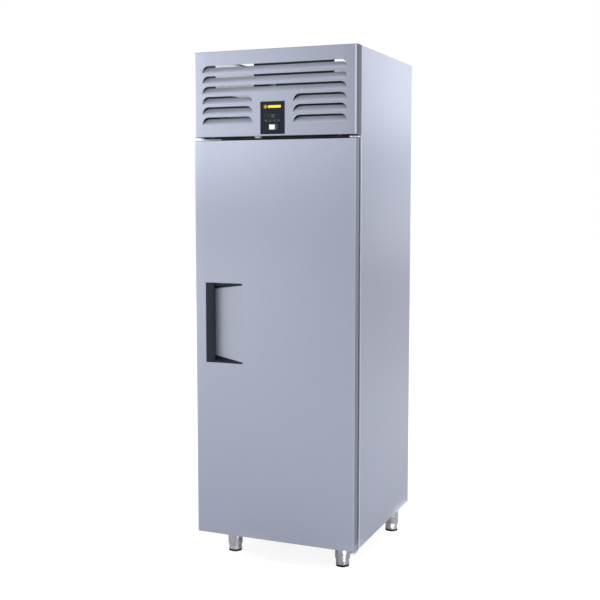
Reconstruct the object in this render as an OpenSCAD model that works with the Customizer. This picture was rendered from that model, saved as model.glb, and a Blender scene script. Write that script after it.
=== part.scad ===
// Upright freezer: a single-door stainless cabinet on four adjustable legs, with a
// louvred machine compartment on top. Millimetres, +Z up, and the door looks along -Y.
// The origin is on the floor, under the middle of the overall box.

/* [Cabinet] */
// Width over the side panels
body_w = 700; // [640:5:800]
// Depth of the insulated carcass, from its front frame to the back panel
carcass_d = 689; // [640:1:800]
// Height of the steel body above the legs
body_h = 1985; // [1900:5:2100]
// Height of the machine compartment above its deck
machine_h = 345; // [335:5:400]
// Thickness of the side, back and floor walls
wall_t = 60; // [52:1:70]
// Thickness of the insulated ceiling
ceiling_t = 70; // [60:1:90]
// Thickness of the folded steel sheet
sheet_t = 1; // [0.8:0.1:1.2]
// Width of the folded lips on the sheet edges
edge_lip = 15; // [10:1:20]
// Outer radius of the folds at the front corners
fold_r = 3; // [2:0.5:4]

/* [Front frame] */
// Width of the plastic breaker strip's face
breaker_w = 16; // [12:1:20]
// Wall of the breaker strip
breaker_t = 2.5; // [2:0.5:3]
// Depth of the breaker strip's leg along the liner
breaker_d = 14; // [10:1:20]

/* [Door] */
// Thickness of the door, without its seal
door_t = 40; // [38:1:60]
// Gap between the door and the side planes of the cabinet
door_side_gap = 1.5; // [1:0.5:3]
// Height of the deck above the top of the door
door_drop = 9; // [6:0.5:12]
// Space that the seal fills between the door and the front frame
seal_gap = 16; // [14:1:20]
// Thickness of the dark edge frame behind the door's steel tray
edge_frame_t = 6; // [5:0.5:10]
// Height of the raised panel on the inside of the door
plug_h = 12; // [8:1:13]
// Distance of the raised panel from the door's edges
plug_inset = 52.5; // [48:0.5:60]
// How far the raised panel's sides draw in towards its face
plug_draft = 8; // [2:0.5:12]

/* [Seal] */
// Distance of the seal from the door's edges
seal_inset = 20.5; // [19:0.5:24]
// Width of the seal's foot
seal_w = 24; // [20:1:26]
// Width and height of the barb that holds the seal in its groove
barb = 4; // [3:0.5:5]
// Clearance of the seal from the frame, and of the barb in its groove
seal_clear = 0.3; // [0.2:0.05:0.5]

/* [Handle] */
// Height of the handle pocket
pocket_h = 330; // [250:5:400]
// Width of the handle pocket
pocket_w = 166; // [140:1:180]
// Distance of the pocket from the door's free edge
pocket_inset = 46.5; // [40:0.5:60]
// Height of the pocket's foot above the door's foot
pocket_z = 724; // [600:1:900]
// Depth of the pocket behind the grip
pocket_d = 28; // [26:1:30]
// Width of the grip bar
grip_w = 40.5; // [34:0.5:46]
// Thickness of the grip bar
grip_t = 9; // [8:0.5:12]
// How far the grip stands out of the door
handle_proud = 5; // [2:0.5:8]
// Wall of the black handle moulding
cup_t = 2; // [1.5:0.5:3]
// Height of the cheeks where they meet the grip
cheek_h = 28; // [20:1:34]

/* [Hinges] */
// Distance of the hinge axis from the door's edge
hinge_inset = 18.5; // [17:0.5:19]
// Gap between the door's ends and the hinge plates
hinge_gap = 3; // [2.5:0.5:4]
// Thickness of the hinge plates
hinge_t = 4; // [3:0.5:5]
// Width of the hinge plates
hinge_w = 34; // [30:1:36]
// Diameter of the hinge pins
hinge_pin_d = 10; // [8:1:12]
// Length of the hinge pins below their plates
hinge_pin_l = 20; // [15:1:30]
// Outer diameter of the hinge bushes
bush_d = 16; // [14:1:20]
// Radial clearance between pin and bush
pin_clear = 0.05; // [0.02:0.01:0.1]

/* [Front panel] */
// Gap between the door and the louvred panel
panel_gap = 13.5; // [12:0.5:16]
// How far the panel stands out in front of the door
panel_proud = 1; // [0:0.5:2]
// Margin between the louvres and the panel's sides
louvre_margin = 40; // [35:1:60]
// Height of one louvre
louvre_h = 30.5; // [26:0.5:34]
// Spacing of the louvre rows
louvre_pitch = 41; // [38:0.5:44]
// Height of the lowest louvre above the panel's foot
louvre_z = 49; // [40:1:55]
// Radius of the louvre's shoulders
louvre_r = 26; // [20:1:26]
// Lean of the louvre blades into the cabinet
louvre_tilt = 36; // [20:1:50]
// Rows that run across the whole panel
full_rows = 3; // [1:1:3]
// Rows that are split by the control plate
split_rows = 3; // [1:1:3]
// Width of the bare middle between the split rows
split_gap = 177; // [150:1:220]

/* [Controls] */
// Width of the black control plate
fascia_w = 104; // [100:1:120]
// Height of the black control plate
fascia_h = 128; // [124:1:150]
// Thickness of the control plate
fascia_t = 2; // [1.5:0.5:3]
// Height of the control plate above the panel's foot
fascia_z = 7; // [4:1:15]
// Width of the display window
window_w = 65; // [50:1:70]
// Height of the display window
window_h = 21; // [16:1:24]
// Height of the display window's foot above the plate's foot
window_z = 60.5; // [58:0.5:64]
// Width of one key
key_w = 14; // [10:0.5:15]
// Height of one key
key_h = 9; // [7:0.5:10]
// Spacing of the keys
key_pitch = 18; // [16:0.5:19]
// Height of the keys' foot above the plate's foot
key_z = 48.5; // [46:0.5:49]
// Travel of a key
key_travel = 0.8; // [0.5:0.1:1]
// Length of the rocker of the main switch
rocker_l = 34; // [28:1:38]
// Height of the rocker
rocker_h = 19; // [15:1:22]
// Tilt of the rocker to each side
rocker_tilt = 7; // [4:1:9]
// Height of the switch's middle above the plate's foot
switch_z = 28; // [24:0.5:29]
// Clearance round the keys
key_clear = 0.25; // [0.15:0.05:0.4]

/* [Legs] */
// Height of the legs, from the floor to the base pan
leg_h = 115; // [105:1:150]
// Outer diameter of the fixed tube
leg_d = 62; // [58:1:70]
// Wall of the fixed tube
leg_wall = 3.5; // [3:0.5:5]
// Clearance of the sliding sleeve in the tube
leg_clear = 0.1; // [0.05:0.01:0.1]
// Height of the gap under the fixed tube
foot_show = 32; // [28:1:40]
// Height of the black base of the foot
foot_base_h = 9; // [6:1:12]
// Side of the square plate on top of a leg
leg_plate = 84; // [76:1:90]
// Thickness of that plate
leg_plate_t = 4; // [3:0.5:6]
// Distance of the front legs from the middle plane
front_leg_x = 246; // [200:1:280]
// Distance of the rear legs from the middle plane
rear_leg_x = 300; // [200:1:302]
// Distance of the front legs behind the front frame
front_leg_y = 91; // [60:1:120]
// Distance of the rear legs from the back
rear_leg_y = 93; // [60:1:120]

/* [Shelves] */
// Spacing of the slots in the shelf uprights
slot_pitch = 50; // [40:5:60]
// Slot number that carries the lowest shelf
first_shelf = 6; // [5:1:7]
// Number of slots between shelves
shelf_step = 7; // [5:1:7]
// Depth of the uprights
upright_d = 9; // [7:1:12]
// Width of the uprights
upright_w = 20; // [16:1:25]
// Distance of the uprights from the cavity's front and back
upright_inset = 90; // [70:5:130]
// Width of the ledge that carries a shelf
ledge_w = 22; // [18:1:28]
// Diameter of the shelves' side rods
rod_d = 6; // [5:0.5:8]
// Diameter of the shelf wires
wire_d = 3; // [2.5:0.5:4]
// Number of shelf wires
wire_count = 19; // [11:2:21]
// Distance of the shelves from the cavity's front and back
shelf_inset = 28; // [20:1:40]

/* [Cold side] */
// Width of the evaporator cover
evap_w = 470; // [420:5:500]
// Depth of the evaporator cover
evap_d = 420; // [380:5:440]
// Height of the evaporator cover
evap_h = 140; // [130:1:160]
// Distance of the cover from the back of the cavity
evap_back = 40; // [20:1:60]
// Diameter of the evaporator fan
evap_fan_d = 170; // [140:2:180]
// Depth of the evaporator coil
evap_coil_d = 110; // [90:5:120]
// Height of the evaporator coil
evap_coil_h = 84; // [70:2:90]

/* [Machine] */
// Width of the condenser
cond_w = 300; // [260:5:320]
// Height of the condenser
cond_h = 230; // [200:5:250]
// Depth of the condenser
cond_d = 36; // [30:1:44]
// Distance of the condenser behind the front frame
cond_y = 60; // [50:5:90]
// Sideways place of the condenser's middle
cond_x = 110; // [90:5:120]
// Diameter of the condenser fan
cond_fan_d = 200; // [160:2:204]
// Clearance of the fans in their rings
fan_clear = 3; // [2:0.5:5]
// Diameter of the fan shafts
shaft_d = 6; // [5:0.5:8]
// Radial clearance of the fan hubs on their shafts
shaft_clear = 0.05; // [0.02:0.01:0.1]
// Diameter of the compressor shell
comp_d = 168; // [150:2:190]
// Height of the compressor shell
comp_h = 190; // [170:5:210]
// Diameter of the refrigerant pipes
pipe_d = 8; // [6:1:10]
// Radius of the pipes' bends
bend_r = 14; // [12:0.5:15]

/* [Hidden] */
$fn = 48;

half_w = body_w / 2;
depth = carcass_d + seal_gap + door_t + handle_proud;
y_back = depth / 2;
y_frame = y_back - carcass_d;
y_inner = y_frame - seal_gap;
y_face = y_inner - door_t;
y_tray = y_inner - edge_frame_t;
y_panel = y_face - panel_proud;
z_base = leg_h;
z_top = leg_h + body_h;
z_deck = z_top - machine_h;
z_floor = z_base + wall_t;
z_ceil = z_deck - ceiling_t;
x_in = half_w - wall_t;
y_cav = y_back - wall_t;
frame_lip = wall_t - breaker_w;
door_w = body_w - 2 * door_side_gap;
door_z0 = z_base;
door_z1 = z_deck - door_drop;
panel_z = door_z1 + panel_gap;
hinge_x = door_w / 2 - hinge_inset;
hinge_y = y_face + door_t / 2;
bush_clear = 0.1;
screw_d = 5;
screw_head_d = 9;
hinge_leg_w = hinge_inset - 2;
hinge_screw_z = [-22, -46];
hinge_screw_x = hinge_x + hinge_w / 2 - hinge_leg_w / 2;

pocket_x = -door_w / 2 + pocket_inset;
pocket_z0 = door_z0 + pocket_z;
pocket_z1 = pocket_z0 + pocket_h;
y_pocket = y_face + pocket_d;

y_fascia = y_panel - fascia_t;
fascia_x = -1;
fascia_z0 = panel_z + fascia_z;
window_x = fascia_x - 3.5;
key_x0 = fascia_x - 1.5 * key_pitch;
switch_x = fascia_x + 3.5;
module_d = 62;
key_room = 2;
rocker_pivot = 6;
y_rocker = y_fascia + rocker_pivot + 0.3;
rocker_pin_r = 1.5;
switch_rim = 1.2;
switch_body_d = 26;

slot_foot = 30;
shelf_z = [for (i = [0:2]) z_floor + slot_foot + slot_pitch * (first_shelf + i * shelf_step)];
upright_y = [y_frame + upright_inset, y_cav - upright_inset];
upright_t = 1.5;
ledge_t = 1.5;
rest_clear = 0.2;

y_evap1 = y_cav - evap_back;
y_evap0 = y_evap1 - evap_d;
z_evap = z_ceil - evap_h;
evap_fan_y = y_evap1 - evap_fan_d / 2 - 30;
evap_hub_z = z_evap + 34;
evap_coil_w = evap_w - 60;
y_evap_coil = y_evap0 + 24;
z_evap_coil = z_evap + 28;

cond_z = z_deck + 28;
y_cond = y_frame + cond_y;
shroud_y = y_cond + cond_d;
shroud_d = 40;
fan_y = shroud_y + shroud_d - 14;
fan_z = cond_z + cond_h / 2;
motor_y = fan_y + 34;
unit_x = half_w - 60;
comp_x = 115 - unit_x;
comp_y = y_back - 185;
comp_z = z_deck + 34;
stub_l = 12;
z_hot = comp_z + comp_h * 0.6;
z_suction = comp_z + comp_h * 0.37;
chase_x = 0;
chase_y = y_evap1 - 40;
chase_d = 40;

steel = [0.72, 0.73, 0.76];
dark_steel = [0.45, 0.46, 0.48];
black = [0.12, 0.13, 0.15];
copper = [0.72, 0.45, 0.30];
foam = [0.93, 0.87, 0.66];

// Box from its lowest corner to its highest corner
module block(low, high) {
  translate(low) cube(high - low);
}

// Rods along each axis, from one end to the other
module rod_x(x0, x1, y, z, d) {
  translate([x0, y, z]) rotate([0, 90, 0]) cylinder(h = x1 - x0, d = d);
}
module rod_y(y0, y1, x, z, d) {
  translate([x, y0, z]) rotate([-90, 0, 0]) cylinder(h = y1 - y0, d = d);
}
module rod_z(z0, z1, x, y, d) {
  translate([x, y, z0]) cylinder(h = z1 - z0, d = d);
}

// Turns a solid drawn round the Z axis to lie along +Y
module along_y() {
  rotate([-90, 0, 0]) children();
}

// Slot with round ends, cut through a wall that faces Y
module slot_y(x, y0, y1, z, l, h) {
  translate([x, y1, z]) rotate([90, 0, 0]) linear_extrude(y1 - y0) {
    square([l - h, h], center = true);
    for (s = [-1, 1]) translate([s * (l - h) / 2, 0]) circle(d = h);
  }
}

// Plan of a folded front: flat at y = 0, with its two front corners rounded
module fold_rect(w, d, r) {
  translate([-w / 2, r]) square([w, d - r]);
  translate([-w / 2 + r, 0]) square([w - 2 * r, d]);
  for (s = [-1, 1]) translate([s * (w / 2 - r), r]) circle(r = r);
}

// Plan of the folded sheet itself, open at the back
module fold_plan(w, d, t, r) {
  difference() {
    fold_rect(w, d, r);
    translate([0, t]) fold_rect(w - 2 * t, d, r - t);
  }
}

// Rectangular ring behind the door, between two distances from the door's edges
module door_ring(outer, inner, y0, y1) {
  difference() {
    block([-door_w / 2 + outer, y0, door_z0 + outer], [door_w / 2 - outer, y1, door_z1 - outer]);
    block([-door_w / 2 + inner, y0 - 1, door_z0 + inner], [door_w / 2 - inner, y1 + 1, door_z1 - inner]);
  }
}

// CABINET SHELL

// One side sheet with its frame lip, machine lip, back lip and top hem, drawn on the left
module side_sheet() {
  block([-half_w, y_frame, z_base], [-half_w + sheet_t, y_back, z_top]);
  block([-half_w, y_frame, z_base], [-half_w + frame_lip, y_frame + sheet_t, z_deck]);
  block([-half_w, y_frame, z_base], [-half_w + edge_lip, y_frame + sheet_t, z_top]);
  block([-half_w, y_back - 2 * sheet_t, z_base], [-half_w + edge_lip, y_back - sheet_t, z_top]);
  block([-half_w, y_frame, z_top - sheet_t], [-half_w + edge_lip, y_back - sheet_t, z_top]);
}

module left_side_panel() {
  color(steel) side_sheet();
}

module right_side_panel() {
  color(steel) mirror([1, 0, 0]) side_sheet();
}

module back_panel() {
  vent_l = 150;
  vent_h = 8;
  color(steel) difference() {
    union() {
      block([-half_w + sheet_t, y_back - sheet_t, z_base], [half_w - sheet_t, y_back, z_top]);
      block([-half_w + edge_lip, y_back - edge_lip, z_top - sheet_t],
            [half_w - edge_lip, y_back - sheet_t, z_top]);
    }
    for (column = [-1:1], row = [0:6])
      slot_y(column * (vent_l + 40), y_back - 2 * sheet_t, y_back + sheet_t,
             z_deck + 90 + row * 3 * vent_h, vent_l, vent_h);
  }
}

module base_pan() {
  color(steel) {
    block([-half_w + sheet_t, y_frame + sheet_t, z_base],
          [half_w - sheet_t, y_back - 2 * sheet_t, z_base + sheet_t]);
    block([-half_w + frame_lip, y_frame, z_base],
          [half_w - frame_lip, y_frame + sheet_t, z_floor - breaker_w]);
  }
}

module top_deck() {
  color(steel) difference() {
    union() {
      block([-half_w + sheet_t, y_frame + sheet_t, z_deck - sheet_t],
            [half_w - sheet_t, y_back - 2 * sheet_t, z_deck]);
      block([-half_w + frame_lip, y_frame, z_ceil + breaker_w],
            [half_w - frame_lip, y_frame + sheet_t, z_deck]);
    }
    pipe_chase();
  }
}

// Round way for the pipes through deck, foam and ceiling
module pipe_chase() {
  rod_z(z_ceil - 5, z_deck + 5, chase_x, chase_y, chase_d);
}

// Space taken by the breaker strip round the opening
module breaker_space() {
  block([-x_in - breaker_w, y_frame, z_floor - breaker_w],
        [x_in + breaker_w, y_frame + breaker_t, z_ceil + breaker_w]);
  block([-x_in - breaker_t, y_frame, z_floor - breaker_t],
        [x_in + breaker_t, y_frame + breaker_d, z_ceil + breaker_t]);
}

module breaker_frame() {
  color(black) difference() {
    breaker_space();
    block([-x_in, y_frame - 1, z_floor], [x_in, y_frame + breaker_d + 1, z_ceil]);
  }
}

module body_insulation() {
  color(foam) difference() {
    block([-half_w + sheet_t, y_frame + sheet_t, z_base + sheet_t],
          [half_w - sheet_t, y_back - sheet_t, z_deck - sheet_t]);
    block([-x_in - sheet_t, y_frame, z_floor - sheet_t],
          [x_in + sheet_t, y_cav + sheet_t, z_ceil + sheet_t]);
    breaker_space();
    for (side = [0, 1]) mirror([side, 0, 0])
      block([-half_w, y_back - 2 * sheet_t, z_base], [-half_w + edge_lip, y_back, z_deck]);
    pipe_chase();
  }
}

// LINER

module side_liner() {
  block([-x_in - sheet_t, y_frame + breaker_d, z_floor - sheet_t],
        [-x_in, y_cav + sheet_t, z_ceil + sheet_t]);
}

module liner_left_wall() {
  color(steel) side_liner();
}

module liner_right_wall() {
  color(steel) mirror([1, 0, 0]) side_liner();
}

module liner_back_wall() {
  color(steel) block([-x_in, y_cav, z_floor - sheet_t], [x_in, y_cav + sheet_t, z_ceil + sheet_t]);
}

module liner_ceiling() {
  color(steel) difference() {
    block([-x_in, y_frame + breaker_d, z_ceil], [x_in, y_cav, z_ceil + sheet_t]);
    pipe_chase();
  }
}

module liner_floor() {
  cove_r = 14;
  color(steel) {
    block([-x_in, y_frame + breaker_d, z_floor - sheet_t], [x_in, y_cav, z_floor]);
    for (side = [0, 1]) mirror([side, 0, 0])
      translate([-x_in, y_cav, z_floor]) rotate([90, 0, 0])
        linear_extrude(y_cav - y_frame - breaker_d) difference() {
          square(cove_r);
          translate([cove_r, cove_r]) circle(r = cove_r);
        }
  }
}

// FRONT PANEL AND CONTROLS

// Outline of a louvre: straight foot, round shoulders
module louvre_outline(l, h, r) {
  intersection() {
    square([l, h]);
    union() {
      translate([r, 0]) square([l - 2 * r, h]);
      square([l, h - r]);
      for (x = [r, l - r]) translate([x, h - r]) circle(r = r);
    }
  }
}

// The opening that a louvre leaves in the sheet
module louvre_opening(x, z, l) {
  translate([x, y_panel + 2 * sheet_t, z]) rotate([90, 0, 0])
    linear_extrude(3 * sheet_t) louvre_outline(l, louvre_h, louvre_r);
}

// The blade, cut free at its top and ends and folded inwards about its foot
module louvre_blade(x, z, l) {
  kerf = 0.8;
  translate([x + kerf, y_panel, z]) rotate([90 - louvre_tilt, 0, 0])
    translate([0, 0, -sheet_t])
      linear_extrude(sheet_t) louvre_outline(l - 2 * kerf, louvre_h - kerf, louvre_r - kerf);
}

// Places children at each louvre as [x, z, length]
function louvres() = let(
    l = body_w - 2 * louvre_margin,
    side_l = (l - split_gap) / 2,
    z0 = panel_z + louvre_z) concat(
  [for (row = [0:split_rows - 1], side = [0, 1])
    [side == 0 ? -l / 2 : split_gap / 2, z0 + row * louvre_pitch, side_l]],
  [for (row = [split_rows:split_rows + full_rows - 1])
    [-l / 2, z0 + row * louvre_pitch, l]]);

module front_louvre_panel() {
  flange_d = y_frame - y_panel;
  foot_d = 34;
  head_d = 20;
  color(steel) {
    difference() {
      union() {
        translate([0, y_panel, panel_z]) linear_extrude(z_top - panel_z)
          fold_plan(body_w, flange_d, sheet_t, fold_r);
        translate([0, y_panel, panel_z]) linear_extrude(sheet_t)
          fold_rect(body_w, foot_d, fold_r);
        translate([0, y_panel, z_top - sheet_t]) linear_extrude(sheet_t)
          fold_rect(body_w, head_d, fold_r);
      }
      for (l = louvres()) louvre_opening(l[0], l[1], l[2]);
      module_space(1);
      switch_space(1);
    }
    for (l = louvres()) louvre_blade(l[0], l[1], l[2]);
  }
}

// Body of the controller behind the plate, grown by a clearance on each side
module module_space(clear) {
  block([window_x - window_w / 2 - 3 - clear, y_panel, fascia_z0 + key_z - 3 - clear],
        [window_x + window_w / 2 + 6 + clear, y_panel + module_d,
         fascia_z0 + window_z + window_h + 3 + clear]);
}

// Body of the main switch behind the plate, grown by a clearance on each side
module switch_space(clear) {
  half_l = rocker_l / 2 + 3 + clear;
  half_h = rocker_h / 2 + 3 + clear;
  block([switch_x - half_l, y_panel, fascia_z0 + switch_z - half_h],
        [switch_x + half_l, y_panel + switch_body_d, fascia_z0 + switch_z + half_h]);
}

// One key's place: its middle across and its foot
module key_block(i, y0, y1, clear) {
  x = key_x0 + i * key_pitch;
  block([x - key_w / 2 - clear, y0, fascia_z0 + key_z - clear],
        [x + key_w / 2 + clear, y1, fascia_z0 + key_z + key_h + clear]);
}

module control_fascia() {
  color(black) difference() {
    translate([fascia_x - fascia_w / 2, y_fascia, fascia_z0]) cube([fascia_w, fascia_t, fascia_h]);
    block([window_x - window_w / 2, y_fascia - 1, fascia_z0 + window_z],
          [window_x + window_w / 2, y_panel + 1, fascia_z0 + window_z + window_h]);
    for (i = [0:3]) key_block(i, y_fascia - 1, y_panel + 1, key_clear);
    translate([0, -fascia_t, 0]) switch_space(0.2);
  }
}

module controller_module() {
  color(black) {
    difference() {
      module_space(0);
      for (i = [0:3]) key_block(i, y_panel - 1, y_panel + key_room, key_clear);
    }
    block([window_x - window_w / 2 + 0.2, y_fascia, fascia_z0 + window_z + 0.2],
          [window_x + window_w / 2 - 0.2, y_panel, fascia_z0 + window_z + window_h - 0.2]);
  }
}

// A key that stands out by its travel, with a shallow dished face
module key_cap(i) {
  x = key_x0 + i * key_pitch;
  dish_r = 30;
  color([0.75, 0.76, 0.78]) difference() {
    key_block(i, y_fascia - key_travel, y_panel - 0.2, 0);
    translate([x, y_fascia - key_travel - dish_r + 0.3, fascia_z0 + key_z - 1])
      cylinder(h = key_h + 2, r = dish_r);
  }
}

module key_set() { key_cap(0); }
module key_up() { key_cap(1); }
module key_down() { key_cap(2); }
module key_defrost() { key_cap(3); }

module switch_housing() {
  z = fascia_z0 + switch_z;
  half_l = rocker_l / 2 + 1.6;
  half_h = rocker_h / 2 + 0.5;
  color(black) difference() {
    union() {
      switch_space(0);
      block([switch_x - rocker_l / 2 - 3, y_fascia, z - rocker_h / 2 - 3],
            [switch_x + rocker_l / 2 + 3, y_panel, z + rocker_h / 2 + 3]);
      block([switch_x - rocker_l / 2 - 4.5, y_fascia - switch_rim, z - rocker_h / 2 - 4.5],
            [switch_x + rocker_l / 2 + 4.5, y_fascia, z + rocker_h / 2 + 4.5]);
    }
    block([switch_x - half_l, y_fascia - switch_rim - 1, z - half_h],
          [switch_x + half_l, y_panel + 14, z + half_h]);
    rod_z(z - rocker_h / 2 - 1.7, z + rocker_h / 2 + 1.7, switch_x, y_rocker,
          2 * rocker_pin_r + 0.1);
  }
}

module rocker() {
  z = fascia_z0 + switch_z;
  half_l = rocker_l / 2;
  valley = 1.6;
  color("white") translate([switch_x, y_rocker, z]) rotate([0, 0, rocker_tilt]) {
    translate([0, 0, -rocker_h / 2]) linear_extrude(rocker_h)
      polygon([[-half_l, -rocker_pivot], [0, -rocker_pivot + valley], [half_l, -rocker_pivot],
               [half_l, 1], [half_l - 4, 3.5], [4 - half_l, 3.5], [-half_l, 1]]);
    translate([0, 0, -rocker_h / 2 - 1.5]) cylinder(h = rocker_h + 3, r = rocker_pin_r);
  }
}

// DOOR

module door_bush_ways(d) {
  for (z = [door_z0 - 1, door_z1 - hinge_pin_l - 6])
    rod_z(z, z + hinge_pin_l + 7, hinge_x, hinge_y, d);
}

module pocket_window() {
  block([pocket_x, y_face - 1, pocket_z0], [pocket_x + pocket_w, y_face + 2 * sheet_t, pocket_z1]);
}

module door_skin() {
  tray_d = y_tray - y_face;
  color(steel) difference() {
    union() {
      translate([0, y_face, door_z0]) linear_extrude(door_z1 - door_z0)
        fold_plan(door_w, tray_d, sheet_t, fold_r);
      for (z = [door_z0, door_z1 - sheet_t]) translate([0, y_face, z])
        linear_extrude(sheet_t) fold_rect(door_w, tray_d, fold_r);
    }
    pocket_window();
    door_bush_ways(bush_d + 2 * bush_clear);
  }
}

module door_edge_frame() {
  groove = barb + 2 * seal_clear;
  mid = seal_inset + seal_w / 2;
  color(black) difference() {
    door_ring(0, plug_inset, y_tray, y_inner);
    door_ring(mid - groove / 2, mid + groove / 2, y_inner - barb - seal_clear, y_inner + 1);
  }
}

// Profile of the raised panel: straight up to the door's inner face, then drawn in
module plug_profile(l, y0, y1) {
  polygon([[-l / 2, y0], [l / 2, y0], [l / 2, y_inner], [l / 2 - plug_draft, y1],
           [-l / 2 + plug_draft, y1], [-l / 2, y_inner]]);
}

// Raised panel at a distance from the door's edges, drawn in on all four sides
module door_plug(inset, y0, y1) {
  w = door_w - 2 * inset;
  h = door_z1 - door_z0 - 2 * inset;
  intersection() {
    translate([0, 0, door_z0 + inset]) linear_extrude(h) plug_profile(w, y0, y1);
    translate([w / 2, 0, door_z0 + inset + h / 2]) rotate([0, -90, 0]) linear_extrude(w)
      plug_profile(h, y0, y1);
  }
}

module door_insulation() {
  color(foam) difference() {
    union() {
      translate([0, y_face + sheet_t, door_z0 + sheet_t]) linear_extrude(door_z1 - door_z0 - 2 * sheet_t)
        fold_rect(door_w - 2 * sheet_t, y_tray - y_face - sheet_t, fold_r - sheet_t);
      door_plug(plug_inset + sheet_t, y_tray, y_inner + plug_h - sheet_t);
    }
    translate([0, 0, pocket_z0]) linear_extrude(pocket_h) pocket_plan(sheet_t);
    door_bush_ways(bush_d + 2 * bush_clear);
  }
}

module door_inner_liner() {
  color(steel) difference() {
    door_plug(plug_inset, y_tray, y_inner + plug_h);
    door_plug(plug_inset + sheet_t, y_tray - 1, y_inner + plug_h - sheet_t);
  }
}

// Magnetic seal: barb in its groove, foot, bellows and magnet bag
module door_gasket() {
  foot_t = 3;
  bag_t = 5.5;
  mid = seal_inset + seal_w / 2;
  y_end = y_frame - seal_clear;
  color(black) {
    door_ring(mid - barb / 2, mid + barb / 2, y_inner - barb, y_inner);
    door_ring(seal_inset, seal_inset + seal_w, y_inner, y_inner + foot_t);
    door_ring(seal_inset + 5, seal_inset + seal_w - 5, y_inner + foot_t, y_end - bag_t);
    door_ring(seal_inset + 2, seal_inset + seal_w - 2, y_end - bag_t, y_end);
  }
}

// Plan of the pocket, from the flush tip down the ramp and behind the grip;
// it is grown backwards by a thickness
module pocket_plan(t) {
  tip = pocket_x + pocket_w;
  polygon([[pocket_x, y_face - 1], [tip, y_face - 1], [tip, y_face + t],
           [pocket_x + grip_w, y_pocket + t], [pocket_x, y_pocket + t]]);
}

module handle_ramp() {
  tip = pocket_x + pocket_w;
  color(steel) translate([0, 0, pocket_z0]) linear_extrude(pocket_h)
    polygon([[tip, y_face], [tip, y_face + sheet_t], [pocket_x + grip_w, y_pocket + sheet_t],
             [pocket_x, y_pocket + sheet_t], [pocket_x, y_pocket], [pocket_x + grip_w, y_pocket]]);
}

// Black moulding: grip bar, side wall and the two drafted cheeks
module handle_grip() {
  tip = pocket_x + pocket_w;
  rim = 2;
  color(black) {
    translate([pocket_x + grip_w / 2, y_face - handle_proud, pocket_z0]) linear_extrude(pocket_h)
      fold_rect(grip_w, grip_t, 2.5);
    block([pocket_x, y_face - handle_proud + 3, pocket_z0], [pocket_x + cup_t, y_pocket, pocket_z1]);
    for (end = [0, 1]) translate([0, 0, end * (pocket_z0 + pocket_z1)]) mirror([0, 0, end])
      intersection() {
        translate([0, 0, pocket_z0]) linear_extrude(cheek_h)
          polygon([[pocket_x, y_face], [tip, y_face], [pocket_x + grip_w, y_pocket], [pocket_x, y_pocket]]);
        translate([pocket_x, 0, pocket_z0]) rotate([90, 0, 90]) linear_extrude(pocket_w)
          polygon([[y_face, 0], [y_pocket, 0], [y_pocket, cheek_h], [y_face, rim]]);
      }
  }
}

// HINGES

// Upper plate over the door's head, its leg on the frame and its pin; drawn at the head
module hinge_plate(z_end, up) {
  leg_l = 60;
  color(dark_steel) translate([0, 0, z_end]) mirror([0, 0, up ? 0 : 1]) difference() {
    union() {
      block([hinge_x - hinge_w / 2, hinge_y, hinge_gap], [hinge_x + hinge_w / 2, y_frame, hinge_gap + hinge_t]);
      rod_z(hinge_gap, hinge_gap + hinge_t, hinge_x, hinge_y, hinge_w);
      block([hinge_x + hinge_w / 2 - hinge_leg_w, y_frame - hinge_t, -leg_l],
            [hinge_x + hinge_w / 2, y_frame, hinge_gap + hinge_t]);
      rod_z(hinge_gap - hinge_pin_l, hinge_gap + hinge_t, hinge_x, hinge_y, hinge_pin_d);
    }
    for (z = hinge_screw_z) rod_y(y_frame - 2 * hinge_t, y_frame + 1, hinge_screw_x, z, screw_d + 0.2);
  }
}

module upper_hinge_bracket() {
  hinge_plate(door_z1, true);
}

module lower_hinge_bracket() {
  hinge_plate(door_z0, false);
}

// Flanged bushes in the door's head and foot
module hinge_bushes() {
  flange_t = hinge_gap - 0.3;
  bore = hinge_pin_d + 2 * pin_clear;
  color("white") for (end = [0, 1])
    translate([hinge_x, hinge_y, end == 0 ? door_z0 : door_z1]) mirror([0, 0, 1 - end])
      difference() {
        union() {
          translate([0, 0, -hinge_pin_l - 6]) cylinder(h = hinge_pin_l + 6, d = bush_d);
          cylinder(h = flange_t, d = bush_d + 6);
        }
        translate([0, 0, hinge_gap - hinge_pin_l - 2]) cylinder(h = hinge_pin_l + 2, d = bore);
      }
}

// Reed switch under the front panel that feels the closed door
module door_switch() {
  switch_px = -72;
  color("white") block([switch_px - 12, y_panel + 14, panel_z - 6], [switch_px + 12, y_panel + 26, panel_z]);
}

// Screws of the hinge plates, and of the front panel's foot
module fasteners() {
  color(dark_steel) {
    for (end = [0, 1]) translate([0, 0, end == 0 ? door_z0 : door_z1]) mirror([0, 0, 1 - end])
      for (z = hinge_screw_z) {
        rod_y(y_frame - hinge_t, y_frame, hinge_screw_x, z, screw_d);
        rod_y(y_frame - hinge_t - 2.4, y_frame - hinge_t, hinge_screw_x, z, screw_head_d);
      }
    for (x = [-hinge_x + 55, hinge_x - 55])
      rod_z(panel_z - 2.4, panel_z, x, y_panel + 20, screw_head_d);
  }
}

// LEGS

leg_places = [
  [-front_leg_x, y_frame + front_leg_y], [front_leg_x, y_frame + front_leg_y],
  [-rear_leg_x, y_back - rear_leg_y], [rear_leg_x, y_back - rear_leg_y]
];
sleeve_r = leg_d / 2 - leg_wall - leg_clear;

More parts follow.
